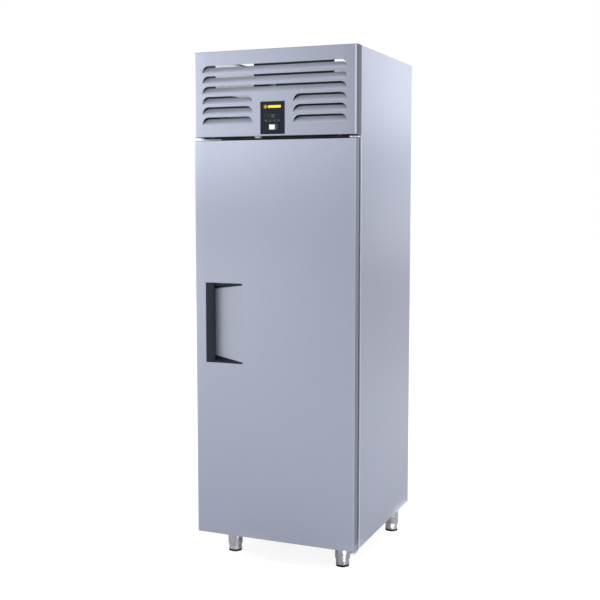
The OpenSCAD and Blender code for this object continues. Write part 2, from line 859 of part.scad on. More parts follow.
// Fixed tubes with their square plates, bolted under the base pan
module leg_tubes() {
  color(steel) for (p = leg_places) translate([p[0], p[1], 0]) {
    translate([-leg_plate / 2, -leg_plate / 2, z_base - leg_plate_t]) cube([leg_plate, leg_plate, leg_plate_t]);
    difference() {
      translate([0, 0, foot_show]) cylinder(h = z_base - leg_plate_t - foot_show, d = leg_d);
      translate([0, 0, foot_show - 1]) cylinder(h = z_base - leg_plate_t - foot_show + 1, d = leg_d - 2 * leg_wall);
    }
  }
}

// Sliding foot: steel sleeve on a base with six spanner flats
module foot(i) {
  p = leg_places[i];
  collar_r = sleeve_r + 1.2;
  flat_r = sleeve_r - 1;
  top = foot_show + 34;
  inner = sleeve_r - 3;
  color(dark_steel) translate([p[0], p[1], 0]) difference() {
    rotate_extrude()
      polygon([[0, 0], [sleeve_r - 3, 0], [collar_r, 3], [collar_r, foot_base_h], [sleeve_r, foot_base_h + 1.5],
               [sleeve_r, top], [inner, top], [inner, foot_base_h + 3], [0, foot_base_h + 3]]);
    for (a = [0:60:300]) rotate([0, 0, a])
      translate([flat_r, -sleeve_r, -1]) cube([sleeve_r, 2 * sleeve_r, foot_base_h + 1]);
  }
}

module foot_front_left() { foot(0); }
module foot_front_right() { foot(1); }
module foot_back_left() { foot(2); }
module foot_back_right() { foot(3); }

// SHELVES

// Slotted channels that hold the runners, two on each side wall
module shelf_uprights() {
  foot_z = z_floor + 16;
  head_z = z_evap - 10;
  count = floor((head_z - z_floor - slot_foot - 20) / slot_pitch);
  color(steel) for (side = [0, 1], y = upright_y) mirror([side, 0, 0]) difference() {
    translate([-x_in, y, foot_z]) linear_extrude(head_z - foot_z) difference() {
      translate([0, -upright_w / 2]) square([upright_d, upright_w]);
      translate([-1, -upright_w / 2 + upright_t]) square([upright_d + 1 - upright_t, upright_w - 2 * upright_t]);
    }
    for (i = [1:count])
      block([-x_in + upright_d - 2 * upright_t, y - 5, z_floor + slot_foot + i * slot_pitch - 8],
            [-x_in + upright_d + 1, y + 5, z_floor + slot_foot + i * slot_pitch]);
  }
}

// Angle runners, hooked into the uprights' slots, with a stop at the back
module runner(z) {
  x0 = -x_in + upright_d;
  y0 = y_frame + shelf_inset + 6;
  y1 = y_cav - shelf_inset - 6;
  block([x0, y0, z - 14], [x0 + ledge_t, y1, z + 12]);
  block([x0, y0, z - ledge_t], [x0 + ledge_w, y1, z]);
  for (y = upright_y) block([x0 - 5, y - 4.5, z - 6.5], [x0, y + 4.5, z - 2]);
}

module shelf_runners() {
  color(steel) for (side = [0, 1], z = shelf_z) mirror([side, 0, 0]) runner(z);
}

// Wire shelf: two side rods, cross rods under them and wires along the depth
module wire_shelf(z) {
  rod_x0 = x_in - upright_d - ledge_t - rod_d / 2 - 2;
  y0 = y_frame + shelf_inset;
  y1 = y_cav - shelf_inset;
  rod_z0 = z + rest_clear + rod_d / 2;
  cross_d = rod_d - 1;
  wire_z = rod_z0 + cross_d / 2 + wire_d / 2 - 0.5;
  step = 2 * (rod_x0 - rod_d) / (wire_count + 1);
  color(steel) {
    for (s = [-1, 1]) rod_y(y0, y1, s * rod_x0, rod_z0, rod_d);
    for (y = [y0 + 6, (y0 + y1) / 2, y1 - 6]) rod_x(-rod_x0, rod_x0, y, rod_z0, cross_d);
    for (i = [1:wire_count]) rod_y(y0, y1, -rod_x0 + rod_d + i * step, wire_z, wire_d);
  }
}

module lower_shelf() { wire_shelf(shelf_z[0]); }
module middle_shelf() { wire_shelf(shelf_z[1]); }
module upper_shelf() { wire_shelf(shelf_z[2]); }

// COOLING

// Finned coil from its lowest corner: fins across X, tubes through them, bends at the ends
module finned_coil(w, d, h, pitch, rows, tube_d, fin_t) {
  plate_t = 1.5;
  row_h = h / rows;
  fins = floor((w - 2 * plate_t) / pitch) - 1;
  fin_step = (w - 2 * plate_t) / (fins + 1);
  for (x = [0, w - plate_t]) translate([x, 0, 0]) cube([plate_t, d, h]);
  for (i = [1:fins]) translate([plate_t + i * fin_step - fin_t / 2, 0, 1]) cube([fin_t, d, h - 2]);
  for (r = [0:rows - 1]) rod_x(plate_t / 2, w - plate_t / 2, d / 2, (r + 0.5) * row_h, tube_d);
  for (r = [0:rows - 2])
    translate([r % 2 == 0 ? w : 0, d / 2, (r + 1) * row_h]) rotate([90, 0, r % 2 == 0 ? 0 : 180])
      rotate([0, 0, -90]) rotate_extrude(angle = 180) translate([row_h / 2, 0]) circle(d = tube_d);
}

// Cross-section of a fan blade: a shallow arc through the origin
module blade_arc(chord, t) {
  r = chord * 1.1;
  intersection() {
    translate([r, 0]) difference() {
      circle(r = r + t / 2);
      circle(r = r - t / 2);
    }
    translate([-chord / 4, -chord / 2]) square([chord / 2, chord]);
  }
}

// Fan rotor along +Y: hub with a blind-ended bore, and cambered blades with round tips
module fan_rotor(d, hub_d, hub_l, blades) {
  root = hub_d / 2 - 3;
  chord = d * 0.28;
  blade_t = 1.8;
  pitch_deg = 28;
  difference() {
    union() {
      along_y() cylinder(h = hub_l, d = hub_d);
      intersection() {
        translate([0, -2, 0]) along_y() cylinder(h = hub_l + 4, d = d);
        for (i = [0:blades - 1]) rotate([0, i * 360 / blades, 0]) intersection() {
          translate([root, hub_l / 2, 0]) rotate([pitch_deg, 0, 0]) rotate([90, 0, 90])
            linear_extrude(d / 2) blade_arc(chord, blade_t);
          translate([d * 0.3, -2, 0]) along_y() cylinder(h = hub_l + 4, r = d * 0.22);
        }
      }
    }
    translate([0, 4, 0]) along_y() cylinder(h = hub_l, d = shaft_d + 2 * shaft_clear);
  }
}

// Motor along +Y, with its shaft reaching back towards -Y
module fan_motor(d, l, shaft_l) {
  along_y() cylinder(h = l, d = d);
  translate([0, l, 0]) along_y() cylinder(h = 6, d = d * 0.7);
  translate([0, -shaft_l, 0]) along_y() cylinder(h = shaft_l + 1, d = shaft_d);
}

module condenser_coil() {
  color(copper) translate([cond_x - cond_w / 2, y_cond, cond_z])
    finned_coil(cond_w, cond_d, cond_h, 10, 8, pipe_d + 1, 0.6);
}

// Fan housing behind the condenser: side walls, ring plate and collar
module fan_shroud() {
  t = 1.5;
  ring_d = cond_fan_d + 2 * fan_clear;
  color(dark_steel) difference() {
    union() {
      block([cond_x - cond_w / 2, shroud_y, cond_z], [cond_x + cond_w / 2, shroud_y + shroud_d - 16, cond_z + cond_h]);
      translate([cond_x, shroud_y, fan_z]) along_y() cylinder(h = shroud_d, d = ring_d + 2 * t);
      for (s = [-1, 1]) block([cond_x + s * (cond_w / 2 - 12) - 12, shroud_y, z_deck + 2],
                              [cond_x + s * (cond_w / 2 - 12) + 12, shroud_y + t, cond_z + 1]);
    }
    block([cond_x - cond_w / 2 + t, shroud_y - 1, cond_z + t],
          [cond_x + cond_w / 2 - t, shroud_y + shroud_d - 16 - t, cond_z + cond_h - t]);
    translate([cond_x, shroud_y - 1, fan_z]) along_y() cylinder(h = shroud_d + 2, d = ring_d);
  }
}

module condenser_fan() {
  color(black) translate([cond_x, fan_y - 12, fan_z]) fan_rotor(cond_fan_d, 56, 26, 5);
}

module condenser_motor() {
  color(dark_steel) translate([cond_x, motor_y, fan_z]) fan_motor(74, 44, motor_y - fan_y + 6);
}

// Wire basket that carries the motor behind the fan
module fan_guard() {
  y0 = shroud_y + shroud_d;
  ring_r = cond_fan_d / 2 + fan_clear;
  wire = 3;
  y1 = motor_y + 8;
  color(dark_steel) {
    for (r = [ring_r + 4, ring_r * 0.72])
      translate([cond_x, y1, fan_z]) along_y() rotate_extrude() translate([r, 0]) circle(d = wire);
    translate([cond_x, y1, fan_z]) along_y() difference() {
      translate([0, 0, -5]) cylinder(h = 10, d = 74 + 10);
      translate([0, 0, -6]) cylinder(h = 12, d = 74 + 0.4);
    }
    for (a = [45:90:315]) translate([cond_x, 0, fan_z]) rotate([0, a, 0]) {
      rod_x(74 / 2 + 2, ring_r + 7, y1, 0, wire + 1);
      rod_y(y0 - shroud_d + 24, y1 + 1, ring_r + 7, 0, wire + 1.5);
    }
  }
}

// Hermetic compressor: welded shell, feet, terminal box and pipe stubs
module compressor() {
  r = comp_d / 2;
  foot_t = 3;
  color(black) translate([comp_x, comp_y, comp_z]) {
    rotate_extrude() polygon([[0, 0], [r * 0.62, 0], [r * 0.9, 14], [r * 0.97, 30], [r * 0.97, comp_h * 0.52],
      [r, comp_h * 0.52], [r, comp_h * 0.56], [r * 0.97, comp_h * 0.56], [r * 0.97, comp_h * 0.72],
      [r * 0.86, comp_h * 0.87], [r * 0.6, comp_h * 0.97], [0, comp_h]]);
    difference() {
      translate([-r, -r * 0.8, -foot_t]) cube([2 * r, 1.6 * r, foot_t + 1]);
      for (x = [-1, 1], y = [-1, 1]) translate([x * r * 0.85, y * r * 0.65, -foot_t - 1])
        cylinder(h = foot_t + 4, d = 14);
    }
    translate([-r - 24, -30, comp_h * 0.25]) cube([40, 60, 56]);
    rod_y(-r - stub_l, -r * 0.8, 0, z_hot - comp_z, pipe_d + 4);
    rod_x(r * 0.8, r + stub_l, 0, z_suction - comp_z, pipe_d + 4);
  }
}

// Rubber grommets under the compressor's feet, on studs with nuts
module compressor_mounts() {
  r = comp_d / 2;
  color(black) for (x = [-1, 1], y = [-1, 1])
    translate([comp_x + x * r * 0.85, comp_y + y * r * 0.65, z_deck + 2]) {
      cylinder(h = comp_z - 3 - z_deck - 2, d = 26);
      cylinder(h = comp_z - z_deck + 8, d = 13.6);
    }
}

// Base tray of the condensing unit, with turned-up edges
module unit_base() {
  t = 2;
  y0 = y_cond - 20;
  y1 = y_back - 60;
  color(steel) difference() {
    block([-unit_x, y0, z_deck], [unit_x, y1, z_deck + 16]);
    block([-unit_x + t, y0 + t, z_deck + t], [unit_x - t, y1 - t, z_deck + 17]);
    rod_z(z_deck - 1, z_deck + 3, chase_x, chase_y, chase_d);
  }
}

// Open tray on the base, where the defrost water dries up
module evaporation_tray() {
  t = 1;
  h = 44;
  x1 = unit_x - 30;
  x0 = x1 - 210;
  y0 = comp_y - 70;
  y1 = comp_y + 70;
  color(steel) difference() {
    block([x0, y0, z_deck + 2], [x1, y1, z_deck + 2 + h]);
    block([x0 + t, y0 + t, z_deck + 2 + t], [x1 - t, y1 - t, z_deck + 3 + h]);
  }
}

module electrical_box() {
  color(steel) {
    block([-half_w + 65, y_cond - 12, z_deck + 2], [-half_w + 205, y_cond + 80, z_deck + 122]);
    block([-half_w + 61, y_cond - 16, z_deck + 122], [-half_w + 209, y_cond + 84, z_deck + 126]);
  }
}

// Cable gland on the electrical box: hexagon body, dome nut and hollow mouth
module cord_gland() {
  color(black) translate([-half_w + 135, y_cond + 80, z_deck + 90]) along_y() difference() {
    union() {
      cylinder(h = 6, d = 24, $fn = 6);
      cylinder(h = 20, d = 18);
      translate([0, 0, 6]) cylinder(h = 10, d = 22);
    }
    translate([0, 0, 2]) cylinder(h = 20, d = 10);
  }
}

function unit(v) = v / norm(v);

// Straight length that a bend takes from each run at corner i, none at the ends
function bend_cut(p, i) = i == 0 || i == len(p) - 1 ? 0
  : bend_r * tan(acos(unit(p[i] - p[i - 1]) * unit(p[i + 1] - p[i])) / 2);

// Bend at corner b between the runs from a and to c: a torus arc in the frame of its
// centre, with X towards the first run, Y along it, and Z as the axis of the turn
module pipe_bend(a, b, c, d, cut) {
  u = unit(b - a);
  v = unit(c - b);
  axis = unit(cross(u, v));
  inward = cross(axis, u);
  centre = b - cut * u + bend_r * inward;
  multmatrix([[-inward[0], u[0], axis[0], centre[0]],
              [-inward[1], u[1], axis[1], centre[1]],
              [-inward[2], u[2], axis[2], centre[2]],
              [0, 0, 0, 1]])
    rotate_extrude(angle = acos(u * v)) translate([bend_r, 0]) circle(d = d);
}

// Pipe through a list of points, with a round bend at each corner
module pipe_run(points, d) {
  for (i = [0:len(points) - 2]) {
    u = unit(points[i + 1] - points[i]);
    a = points[i] + u * bend_cut(points, i);
    l = norm(points[i + 1] - a) - bend_cut(points, i + 1);
    translate(a) rotate([0, acos(u[2]), atan2(u[1], u[0])]) cylinder(h = l, d = d);
  }
  for (i = [1:len(points) - 2])
    pipe_bend(points[i - 1], points[i], points[i + 1], d, bend_cut(points, i));
}

// Discharge, liquid and suction lines, with the filter drier in the liquid line
module refrigerant_pipes() {
  r_pipe = comp_d / 2 + stub_l;
  side = 8;
  cx = cond_x - cond_w / 2;
  cy = y_cond + cond_d / 2;
  z_in = cond_z + cond_h * 15 / 16;
  z_out = cond_z + cond_h / 16;
  drier_x = cx - 20;
  drier_y = cy + 70;
  drier_l = 90;
  coil_x = -evap_coil_w / 2;
  coil_y = y_evap_coil + evap_coil_d / 2;
  z_gas = z_evap_coil + evap_coil_h * 7 / 8;
  z_feed = z_evap_coil + evap_coil_h / 8;
  color(copper) {
    pipe_run([[comp_x, comp_y - r_pipe, z_hot], [comp_x, comp_y - r_pipe - 30, z_hot],
              [cx - 24, comp_y - r_pipe - 30, z_hot], [cx - 24, cy, z_hot], [cx - 24, cy, z_in],
              [cx, cy, z_in]], pipe_d);
    pipe_run([[cx, cy, z_out], [drier_x, cy, z_out], [drier_x, drier_y + 4, z_out]], pipe_d - 2);
    translate([drier_x, drier_y, z_out]) along_y() cylinder(h = drier_l, d = 24);
    pipe_run([[drier_x, drier_y + drier_l - 4, z_out], [drier_x, chase_y + side, z_out],
              [chase_x + side, chase_y + side, z_out], [chase_x + side, chase_y + side, z_gas - 14],
              [coil_x - 20, chase_y + side, z_gas - 14], [coil_x - 20, coil_y, z_gas - 14],
              [coil_x - 20, coil_y, z_feed], [coil_x, coil_y, z_feed]], pipe_d - 2);
    pipe_run([[comp_x + r_pipe, comp_y, z_suction], [chase_x - side, comp_y, z_suction],
              [chase_x - side, chase_y - side, z_suction], [chase_x - side, chase_y - side, z_gas],
              [coil_x - 16, chase_y - side, z_gas], [coil_x - 16, coil_y, z_gas],
              [coil_x, coil_y, z_gas]], pipe_d);
  }
}

// Sheet cover under the ceiling, with a fan ring and a slotted front
module evaporator_cover() {
  t = 1.2;
  guard_w = 3;
  ring = evap_fan_d + 2 * fan_clear;
  color(steel) for (r = [0.2, 0.45, 0.7, 0.9]) translate([0, evap_fan_y, z_evap]) difference() {
    cylinder(h = t, r = r * ring / 2 + guard_w);
    translate([0, 0, -1]) cylinder(h = t + 2, r = r * ring / 2);
  }
  color(steel) translate([0, evap_fan_y, z_evap]) for (a = [0, 90]) rotate([0, 0, a])
    translate([-ring / 2 - t / 2, -guard_w, 0]) cube([ring + t, 2 * guard_w, t]);
  color(steel) difference() {
    union() {
      difference() {
        block([-evap_w / 2, y_evap0, z_evap], [evap_w / 2, y_evap1, z_ceil]);
        block([-evap_w / 2 + t, y_evap0 + t, z_evap + t], [evap_w / 2 - t, y_evap1 - t, z_ceil + 1]);
      }
      rod_z(z_evap, z_evap + 22, 0, evap_fan_y, ring + 2 * t);
    }
    rod_z(z_evap - 1, z_evap + 23, 0, evap_fan_y, ring);
    for (row = [0:4]) slot_y(0, y_evap0 - 1, y_evap0 + 2 * t, z_evap + 44 + row * 18, evap_w - 60, 9);
  }
}

module evaporator_coil() {
  w = evap_coil_w;
  coil_y = y_evap_coil + evap_coil_d / 2;
  color(copper) translate([-w / 2, y_evap_coil, z_evap_coil])
    finned_coil(w, evap_coil_d, evap_coil_h, 12, 4, pipe_d + 1, 0.6);
  color(copper) for (s = [-1, 1])
    block([s * (w / 2 - 12) - 10, coil_y - 20, z_evap_coil + evap_coil_h - 2],
          [s * (w / 2 - 12) + 10, coil_y + 20, z_ceil]);
}

// Tray under the coil, carried by the cover
module drip_tray() {
  x0 = evap_w / 2 - 10;
  color(steel) difference() {
    block([-x0, y_evap0 + 8, z_evap + 1.2], [x0, y_evap_coil + evap_coil_d + 16, z_evap + 22]);
    block([-x0 + 1, y_evap0 + 9, z_evap + 2.2], [x0 - 1, y_evap_coil + evap_coil_d + 15, z_evap + 23]);
  }
}

module evaporator_fan() {
  hub_l = 22;
  color(black) translate([0, evap_fan_y, evap_hub_z - hub_l]) rotate([90, 0, 0])
    fan_rotor(evap_fan_d, 44, hub_l, 5);
}

// Motor over the evaporator fan, hung from the ceiling on two straps
module evaporator_motor() {
  top = evap_hub_z;
  color(dark_steel) {
    translate([0, evap_fan_y, top + 6]) rotate([90, 0, 0]) fan_motor(60, 36, 18);
    for (s = [-1, 1]) block([s * 34 - 4, evap_fan_y - 10, top + 20], [s * 34 + 4, evap_fan_y + 10, z_ceil]);
    block([-38, evap_fan_y - 10, top + 20], [38, evap_fan_y + 10, top + 24]);
  }
}

left_side_panel();
right_side_panel();
back_panel();
base_pan();
body_insulation();
liner_left_wall();
liner_right_wall();
liner_back_wall();
liner_ceiling();
liner_floor();
breaker_frame();
top_deck();
front_louvre_panel();
control_fascia();
controller_module();
switch_housing();
shelf_uprights();
shelf_runners();
lower_shelf();
middle_shelf();
upper_shelf();
evaporator_cover();
evaporator_coil();
evaporator_motor();
drip_tray();
compressor();
compressor_mounts();
unit_base();
condenser_coil();
fan_shroud();
fan_guard();
condenser_motor();
electrical_box();
refrigerant_pipes();
evaporation_tray();
cord_gland();
upper_hinge_bracket();
lower_hinge_bracket();
door_switch();
fasteners();
leg_tubes();
door_skin();
door_edge_frame();
door_insulation();
door_inner_liner();
door_gasket();
handle_grip();
handle_ramp();
hinge_bushes();
condenser_fan();
evaporator_fan();
rocker();
key_set();
key_up();
key_down();
key_defrost();
foot_front_left();
foot_front_right();
foot_back_left();
foot_back_right();
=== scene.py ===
"""Looks of the upright freezer. Shapes are worked out in millimetres in the frame's own axes,
+Z up and the door towards -Y, and turn into metres as a piece is made. Finishes, lamps and
the camera are in metres."""

from math import atan2, cos, hypot, pi, radians, sin

import bmesh
import bpy
import numpy as np
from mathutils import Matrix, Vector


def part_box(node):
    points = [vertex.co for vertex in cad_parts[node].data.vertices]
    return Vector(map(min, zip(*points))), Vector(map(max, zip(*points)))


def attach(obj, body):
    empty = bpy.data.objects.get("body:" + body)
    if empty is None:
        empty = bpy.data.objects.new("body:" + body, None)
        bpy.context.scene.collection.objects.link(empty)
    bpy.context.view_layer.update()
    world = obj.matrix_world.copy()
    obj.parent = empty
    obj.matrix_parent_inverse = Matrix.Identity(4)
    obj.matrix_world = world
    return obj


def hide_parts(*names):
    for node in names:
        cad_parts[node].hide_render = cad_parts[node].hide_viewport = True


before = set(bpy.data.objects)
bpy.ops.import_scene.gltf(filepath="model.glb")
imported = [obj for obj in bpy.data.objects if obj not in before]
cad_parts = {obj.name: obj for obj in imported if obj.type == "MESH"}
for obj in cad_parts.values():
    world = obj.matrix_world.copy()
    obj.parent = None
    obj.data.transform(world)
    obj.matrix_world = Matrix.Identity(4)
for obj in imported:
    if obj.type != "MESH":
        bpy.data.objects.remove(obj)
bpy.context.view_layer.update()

MM = 0.001
X, Y, Z = 0, 1, 2
QUARTER = pi / 2


def low_high(node):
    """Lowest and highest corner of a CAD node, in millimetres."""
    lo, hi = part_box(node)
    return np.array(lo) / MM, np.array(hi) / MM


# Driving sizes, which repeat those of the part's source
SHEET = 1.0
FOLD_R = 3.0
EDGE_LIP = 15
FRAME_LIP = 44
FOOT_RETURN = 34
HEAD_RETURN = 20
LOUVRE_MARGIN = 40
LOUVRE_H = 30.5
LOUVRE_PITCH = 41
LOUVRE_Z = 49
LOUVRE_R = 26
LOUVRE_TILT = radians(36)
LOUVRE_KERF = 0.8
LOUVRE_BEND = 5
SPLIT_ROWS = 3
FULL_ROWS = 3
SPLIT_GAP = 177
POCKET_INSET = 46.5
POCKET_W = 166
POCKET_FOOT = 724
POCKET_H = 330
POCKET_D = 28
GRIP_W = 40.5
GRIP_T = 9
GRIP_PROUD = 5
CHEEK_H = 28
CHEEK_RIM = 8.5
SEAL_INSET = 20.5
LEG_D = 62
LEG_WALL = 3.5
FOOT_SHOW = 32
SLEEVE_R = 27.4
FOOT_TURN = radians(22)
LEGS = {"foot_front_left": (-246, -223), "foot_front_right": (246, -223),
        "foot_back_left": (-300, 282), "foot_back_right": (300, 282)}
SCREW_R = 4.5
SCREW_H = 2.4
HINGE_X = 338.75

# Boxes (x0, x1, z0, z1): openings in the front panel, and those in the plate over them
MODULE_HOLE = (-41, 35, 1811, 1852)
SWITCH_HOLE = (-18.5, 23.5, 1781, 1808)
WINDOW = (-37, 28, 1827, 1848)
SWITCH = (-17.7, 22.7, 1781.8, 1807.2)
KEY_NAMES = ("key_set", "key_up", "key_down", "key_defrost")
KEY_CLEAR = 0.25

# Corners of the coils, middles of the fans' open ends, and the compressor on its foot plate
CONDENSER = np.array([(-40, -254, 1783), (260, -218, 2013)])
EVAPORATOR = np.array([(-205, -121, 1573), (205, -11, 1657)])
COIL_R = 4.5
CONDENSER_FAN = (110, -204, 1898)
EVAPORATOR_FAN = (0, 160, 1579)
COMPRESSOR = np.array([-175, 190, 1789])
COMPRESSOR_R = 84
COMPRESSOR_H = 190

panel_lo, panel_hi = low_high("front_louvre_panel")
door_lo, door_hi = low_high("door_skin")
side_lo, side_hi = low_high("right_side_panel")
fascia_lo, fascia_hi = low_high("control_fascia")
deck_z = low_high("top_deck")[1][Z]
frame_y = side_lo[Y]
door_y = door_lo[Y]
pocket_x = door_lo[X] + POCKET_INSET
pocket_tip = pocket_x + POCKET_W
pocket_z = door_lo[Z] + POCKET_FOOT
POCKET = (pocket_x, pocket_tip, pocket_z, pocket_z + POCKET_H)


# SHAPES
# A shape is a pair: an array of points, and a list of faces as lists of point numbers


def join(*shapes):
    """Several shapes as one, with the face numbers moved along."""
    points, faces, start = [], [], 0
    for p, f in shapes:
        points.append(p)
        faces += [[start + i for i in face] for face in f]
        start += len(p)
    return np.concatenate(points), faces


def tile(shape, offsets):
    """Copies of a shape, each moved by one offset."""
    p, f = shape
    offsets = np.array(offsets, float)[:, None]
    faces = [[i + k * len(p) for i in face] for k in range(len(offsets)) for face in f]
    return (p + offsets).reshape(-1, 3), faces


def mirrored(shape):
    """The shape on the other side of the middle plane X = 0."""
    p, f = shape
    return p * [-1, 1, 1], [face[::-1] for face in f]


def turned(shape, angle):
    """The shape turned about the Z axis."""
    p, f = shape
    x, y, z = p.T
    c, s = cos(angle), sin(angle)
    return np.stack([x * c - y * s, x * s + y * c, z], -1), f


def cells(rows, cols, wrap_rows=False, wrap_cols=False):
    """Corner numbers of a grid's cells, as (rows, cols, 4), open or closed each way."""
    i, j = np.meshgrid(np.arange(rows - (not wrap_rows)), np.arange(cols - (not wrap_cols)),
                       indexing="ij")
    down, right = (i + 1) % rows, (j + 1) % cols
    return np.stack([i * cols + j, i * cols + right, down * cols + right, down * cols + j], -1)


def skin(outer, inner, keep=True):
    """Closed sheet between two grids of points: both faces of the kept cells, and a wall
    where a kept cell meets a hole or the grid's end."""
    m, n = outer.shape[:2]
    keep = np.ones((m - 1, n - 1), bool) & keep
    front = cells(m, n)[keep]
    number = np.arange(m * n).reshape(m, n)
    padded = np.pad(keep, 1)
    i, j = np.nonzero(padded[1:, 1:-1] != padded[:-1, 1:-1])
    across = np.stack([number[i, j], number[i, j + 1]], -1)
    i, j = np.nonzero(padded[1:-1, 1:] != padded[1:-1, :-1])
    along = np.stack([number[i, j], number[i + 1, j]], -1)
    edge = np.concatenate([across, along])
    walls = np.concatenate([edge, edge[:, ::-1] + m * n], -1)
    faces = np.concatenate([front, front[:, ::-1] + m * n, walls])
    points = np.concatenate([outer.reshape(-1, 3), inner.reshape(-1, 3)])
    used, faces = np.unique(faces, return_inverse=True)
    return points[used], faces.reshape(-1, 4).tolist()


def loft(rings, caps=True, closed=False):
    """Surface through closed rings of points, (rings, points, 3): capped at both ends, or
    joined from the last ring to the first."""
    m, n = rings.shape[:2]
    faces = cells(m, n, wrap_rows=closed, wrap_cols=True).reshape(-1, 4).tolist()
    if caps and not closed:
        faces += [list(range(n))[::-1], list(range((m - 1) * n, m * n))]
    return rings.reshape(-1, 3), faces


def in_axes(first, second, third, axes=(X, Y, Z)):
    """Points from three arrays or numbers, each put on one of the named axes."""
    out = np.zeros(np.broadcast(first, second, third).shape + (3,))
    for value, axis in zip((first, second, third), axes):
        out[..., axis] = value
    return out


def sideways(path, closed=False):
    """For each point of a flat path, the mitred vector to its left that moves both of its
    segments by one unit: (n1 + n2) / (1 + n1.n2) of the segments' left normals."""
    after = np.roll(path, -1, 0) - path
    if not closed:
        after[-1] = after[-2]
    before = np.roll(after, 1, 0)
    if not closed:
        before[0] = after[0]
    n1, n2 = [np.stack([-s[:, 1], s[:, 0]], -1) / np.linalg.norm(s, axis=1)[:, None]
              for s in (before, after)]
    return (n1 + n2) / (1 + (n1 * n2).sum(1))[:, None]


def rounded(points, radius, closed=False, steps=6):
    """Path whose corners become arcs: each starts radius * tan(turn / 2) before the corner
    and turns about a centre one radius to the side of both runs."""
    p = np.array(points, float)
    if closed:
        p = np.concatenate([p[-1:], p, p[:1]])
    u = np.diff(p, axis=0)
    u /= np.linalg.norm(u, axis=1)[:, None]
    cosine = np.clip((u[:-1] * u[1:]).sum(1), -1, 1)[:, None]
    turn = np.arccos(cosine)
    inward = (u[1:] - u[:-1] * cosine) / np.maximum(np.sin(turn), 1e-9)
    radius = np.broadcast_to(radius, turn[:, 0].shape)[:, None]
    start = p[1:-1] - u[:-1] * radius * np.tan(turn / 2)
    a = (turn * np.linspace(0, 1, steps + 1))[..., None]
    arcs = (start[:, None] + radius[..., None] * (u[:-1, None] * np.sin(a)
                                                  + inward[:, None] * (1 - np.cos(a))))
    arcs = arcs.reshape(-1, p.shape[1])
    return arcs if closed else np.concatenate([p[:1], arcs, p[-1:]])


def circle(radius, steps):
    """Points round a circle, anticlockwise."""
    a = np.arange(steps) * 2 * pi / steps
    return np.stack([radius * np.cos(a), radius * np.sin(a)], -1)


def rectangle(x0, x1, y0, y1, radius=0.0):
    """Rectangle, anticlockwise, with its corners rounded."""
    corners = np.array([(x0, y0), (x1, y0), (x1, y1), (x0, y1)], float)
    return rounded(corners, radius, closed=True, steps=5) if radius else corners


def prism(outline, a0, a1, axes=(X, Y, Z), bevel=0.0, steps=2):
    """Anticlockwise outline carried from a0 to a1 along the third axis; near both ends it
    draws in on a quarter circle of the bevel's radius."""
    inward = sideways(outline, closed=True)
    t = np.linspace(0, QUARTER, steps + 1) if bevel else np.array([QUARTER])
    shrink = bevel * (1 - np.sin(t))
    rise = bevel * (1 - np.cos(t))
    inset = np.concatenate([shrink, shrink[::-1]])
    level = np.concatenate([a0 + rise, a1 - rise[::-1]])
    flat = outline + inset[:, None, None] * inward
    return loft(in_axes(flat[..., 0], flat[..., 1], level[:, None], axes))


def folded(path, a0, a1):
    """Sheet bent along a path of (x, y) and carried from a0 to a1 up Z: its second face lies
    one thickness to the left of the path."""
    ends = np.array([a0, a1])[:, None]
    return skin(*[in_axes(p[:, 0], p[:, 1], ends) for p in (path, path + SHEET * sideways(path))])


def revolved(profile, centre=(0, 0, 0), steps=64, closed=False):
    """Profile of (radius, height) turned about the upright line through a centre."""
    profile = np.array(profile, float)
    a = np.arange(steps) * 2 * pi / steps
    r, h = profile[:, :1], profile[:, 1:]
    return loft(in_axes(r * np.cos(a), r * np.sin(a), h) + centre, closed=closed)


def tube(path, radius, sides):
    """Round tube along a path in space: circles on two vectors square to the path, worked
    out from a leaning reference that no run here is parallel to. Its ends are domed: the
    circle's radius shrinks with cos while its place moves by 1 - sin of a quarter turn."""
    p = np.array(path, float)
    along = np.concatenate([p[1:2] - p[:1], p[2:] - p[:-2], p[-1:] - p[-2:-1]])
    along /= np.linalg.norm(along, axis=1)[:, None]
    a = np.linspace(QUARTER, 0, 4)[:-1]
    back = radius * (1 - np.sin(a))[:, None]
    p = np.concatenate([p[:1] + along[:1] * back, p[:1] + along[:1] * radius, p[1:-1],
                        p[-1:] - along[-1:] * radius, p[-1:] - along[-1:] * back[::-1]])
    size = radius * np.concatenate([np.cos(a), np.ones(len(along)), np.cos(a[::-1])])
    along = np.concatenate([np.repeat(along[:1], 3, 0), along, np.repeat(along[-1:], 3, 0)])
    side = np.cross(along, [0.57, 0.62, 0.54])
    side /= np.linalg.norm(side, axis=1)[:, None]
    up = np.cross(along, side)
    c = circle(1.0, sides)
    ring = side[:, None] * c[:, :1] + up[:, None] * c[:, 1:]
    return loft(p[:, None] + size[:, None, None] * ring)


def rounded_box(lo, hi, radius):
    """Box with round edges: on a globe of outward directions N, each octant's border drawn
    twice, the point is the octant's corner centre plus radius times N."""
    lo, hi = np.array(lo, float), np.array(hi, float)
    fine = np.linspace(0, QUARTER, 4)
    lon = np.concatenate([fine + k * QUARTER for k in range(4)])
    lat = np.concatenate([fine - QUARTER, fine])[:, None]
    sx, sy, sz = [np.repeat(signs, 4) for signs in ([1, -1, -1, 1], [1, 1, -1, -1], [-1, 1])]
    n = in_axes(np.cos(lat) * np.cos(lon), np.cos(lat) * np.sin(lon), np.sin(lat))
    corner = in_axes(sx, sy, sz[:, None]) * ((hi - lo) / 2 - radius)
    return loft((lo + hi) / 2 + corner + radius * n)


def framed(x0, x1, z0, z1, profile):
    """Closed profile of (inset, y) carried round a rectangle, with mitred corners."""
    outline = rectangle(x0, x1, z0, z1)
    inward = sideways(outline, closed=True)
    flat = outline[:, None] + profile[:, :1] * inward[:, None]
    return loft(in_axes(flat[..., 0], profile[:, 1], flat[..., 1]), closed=True)


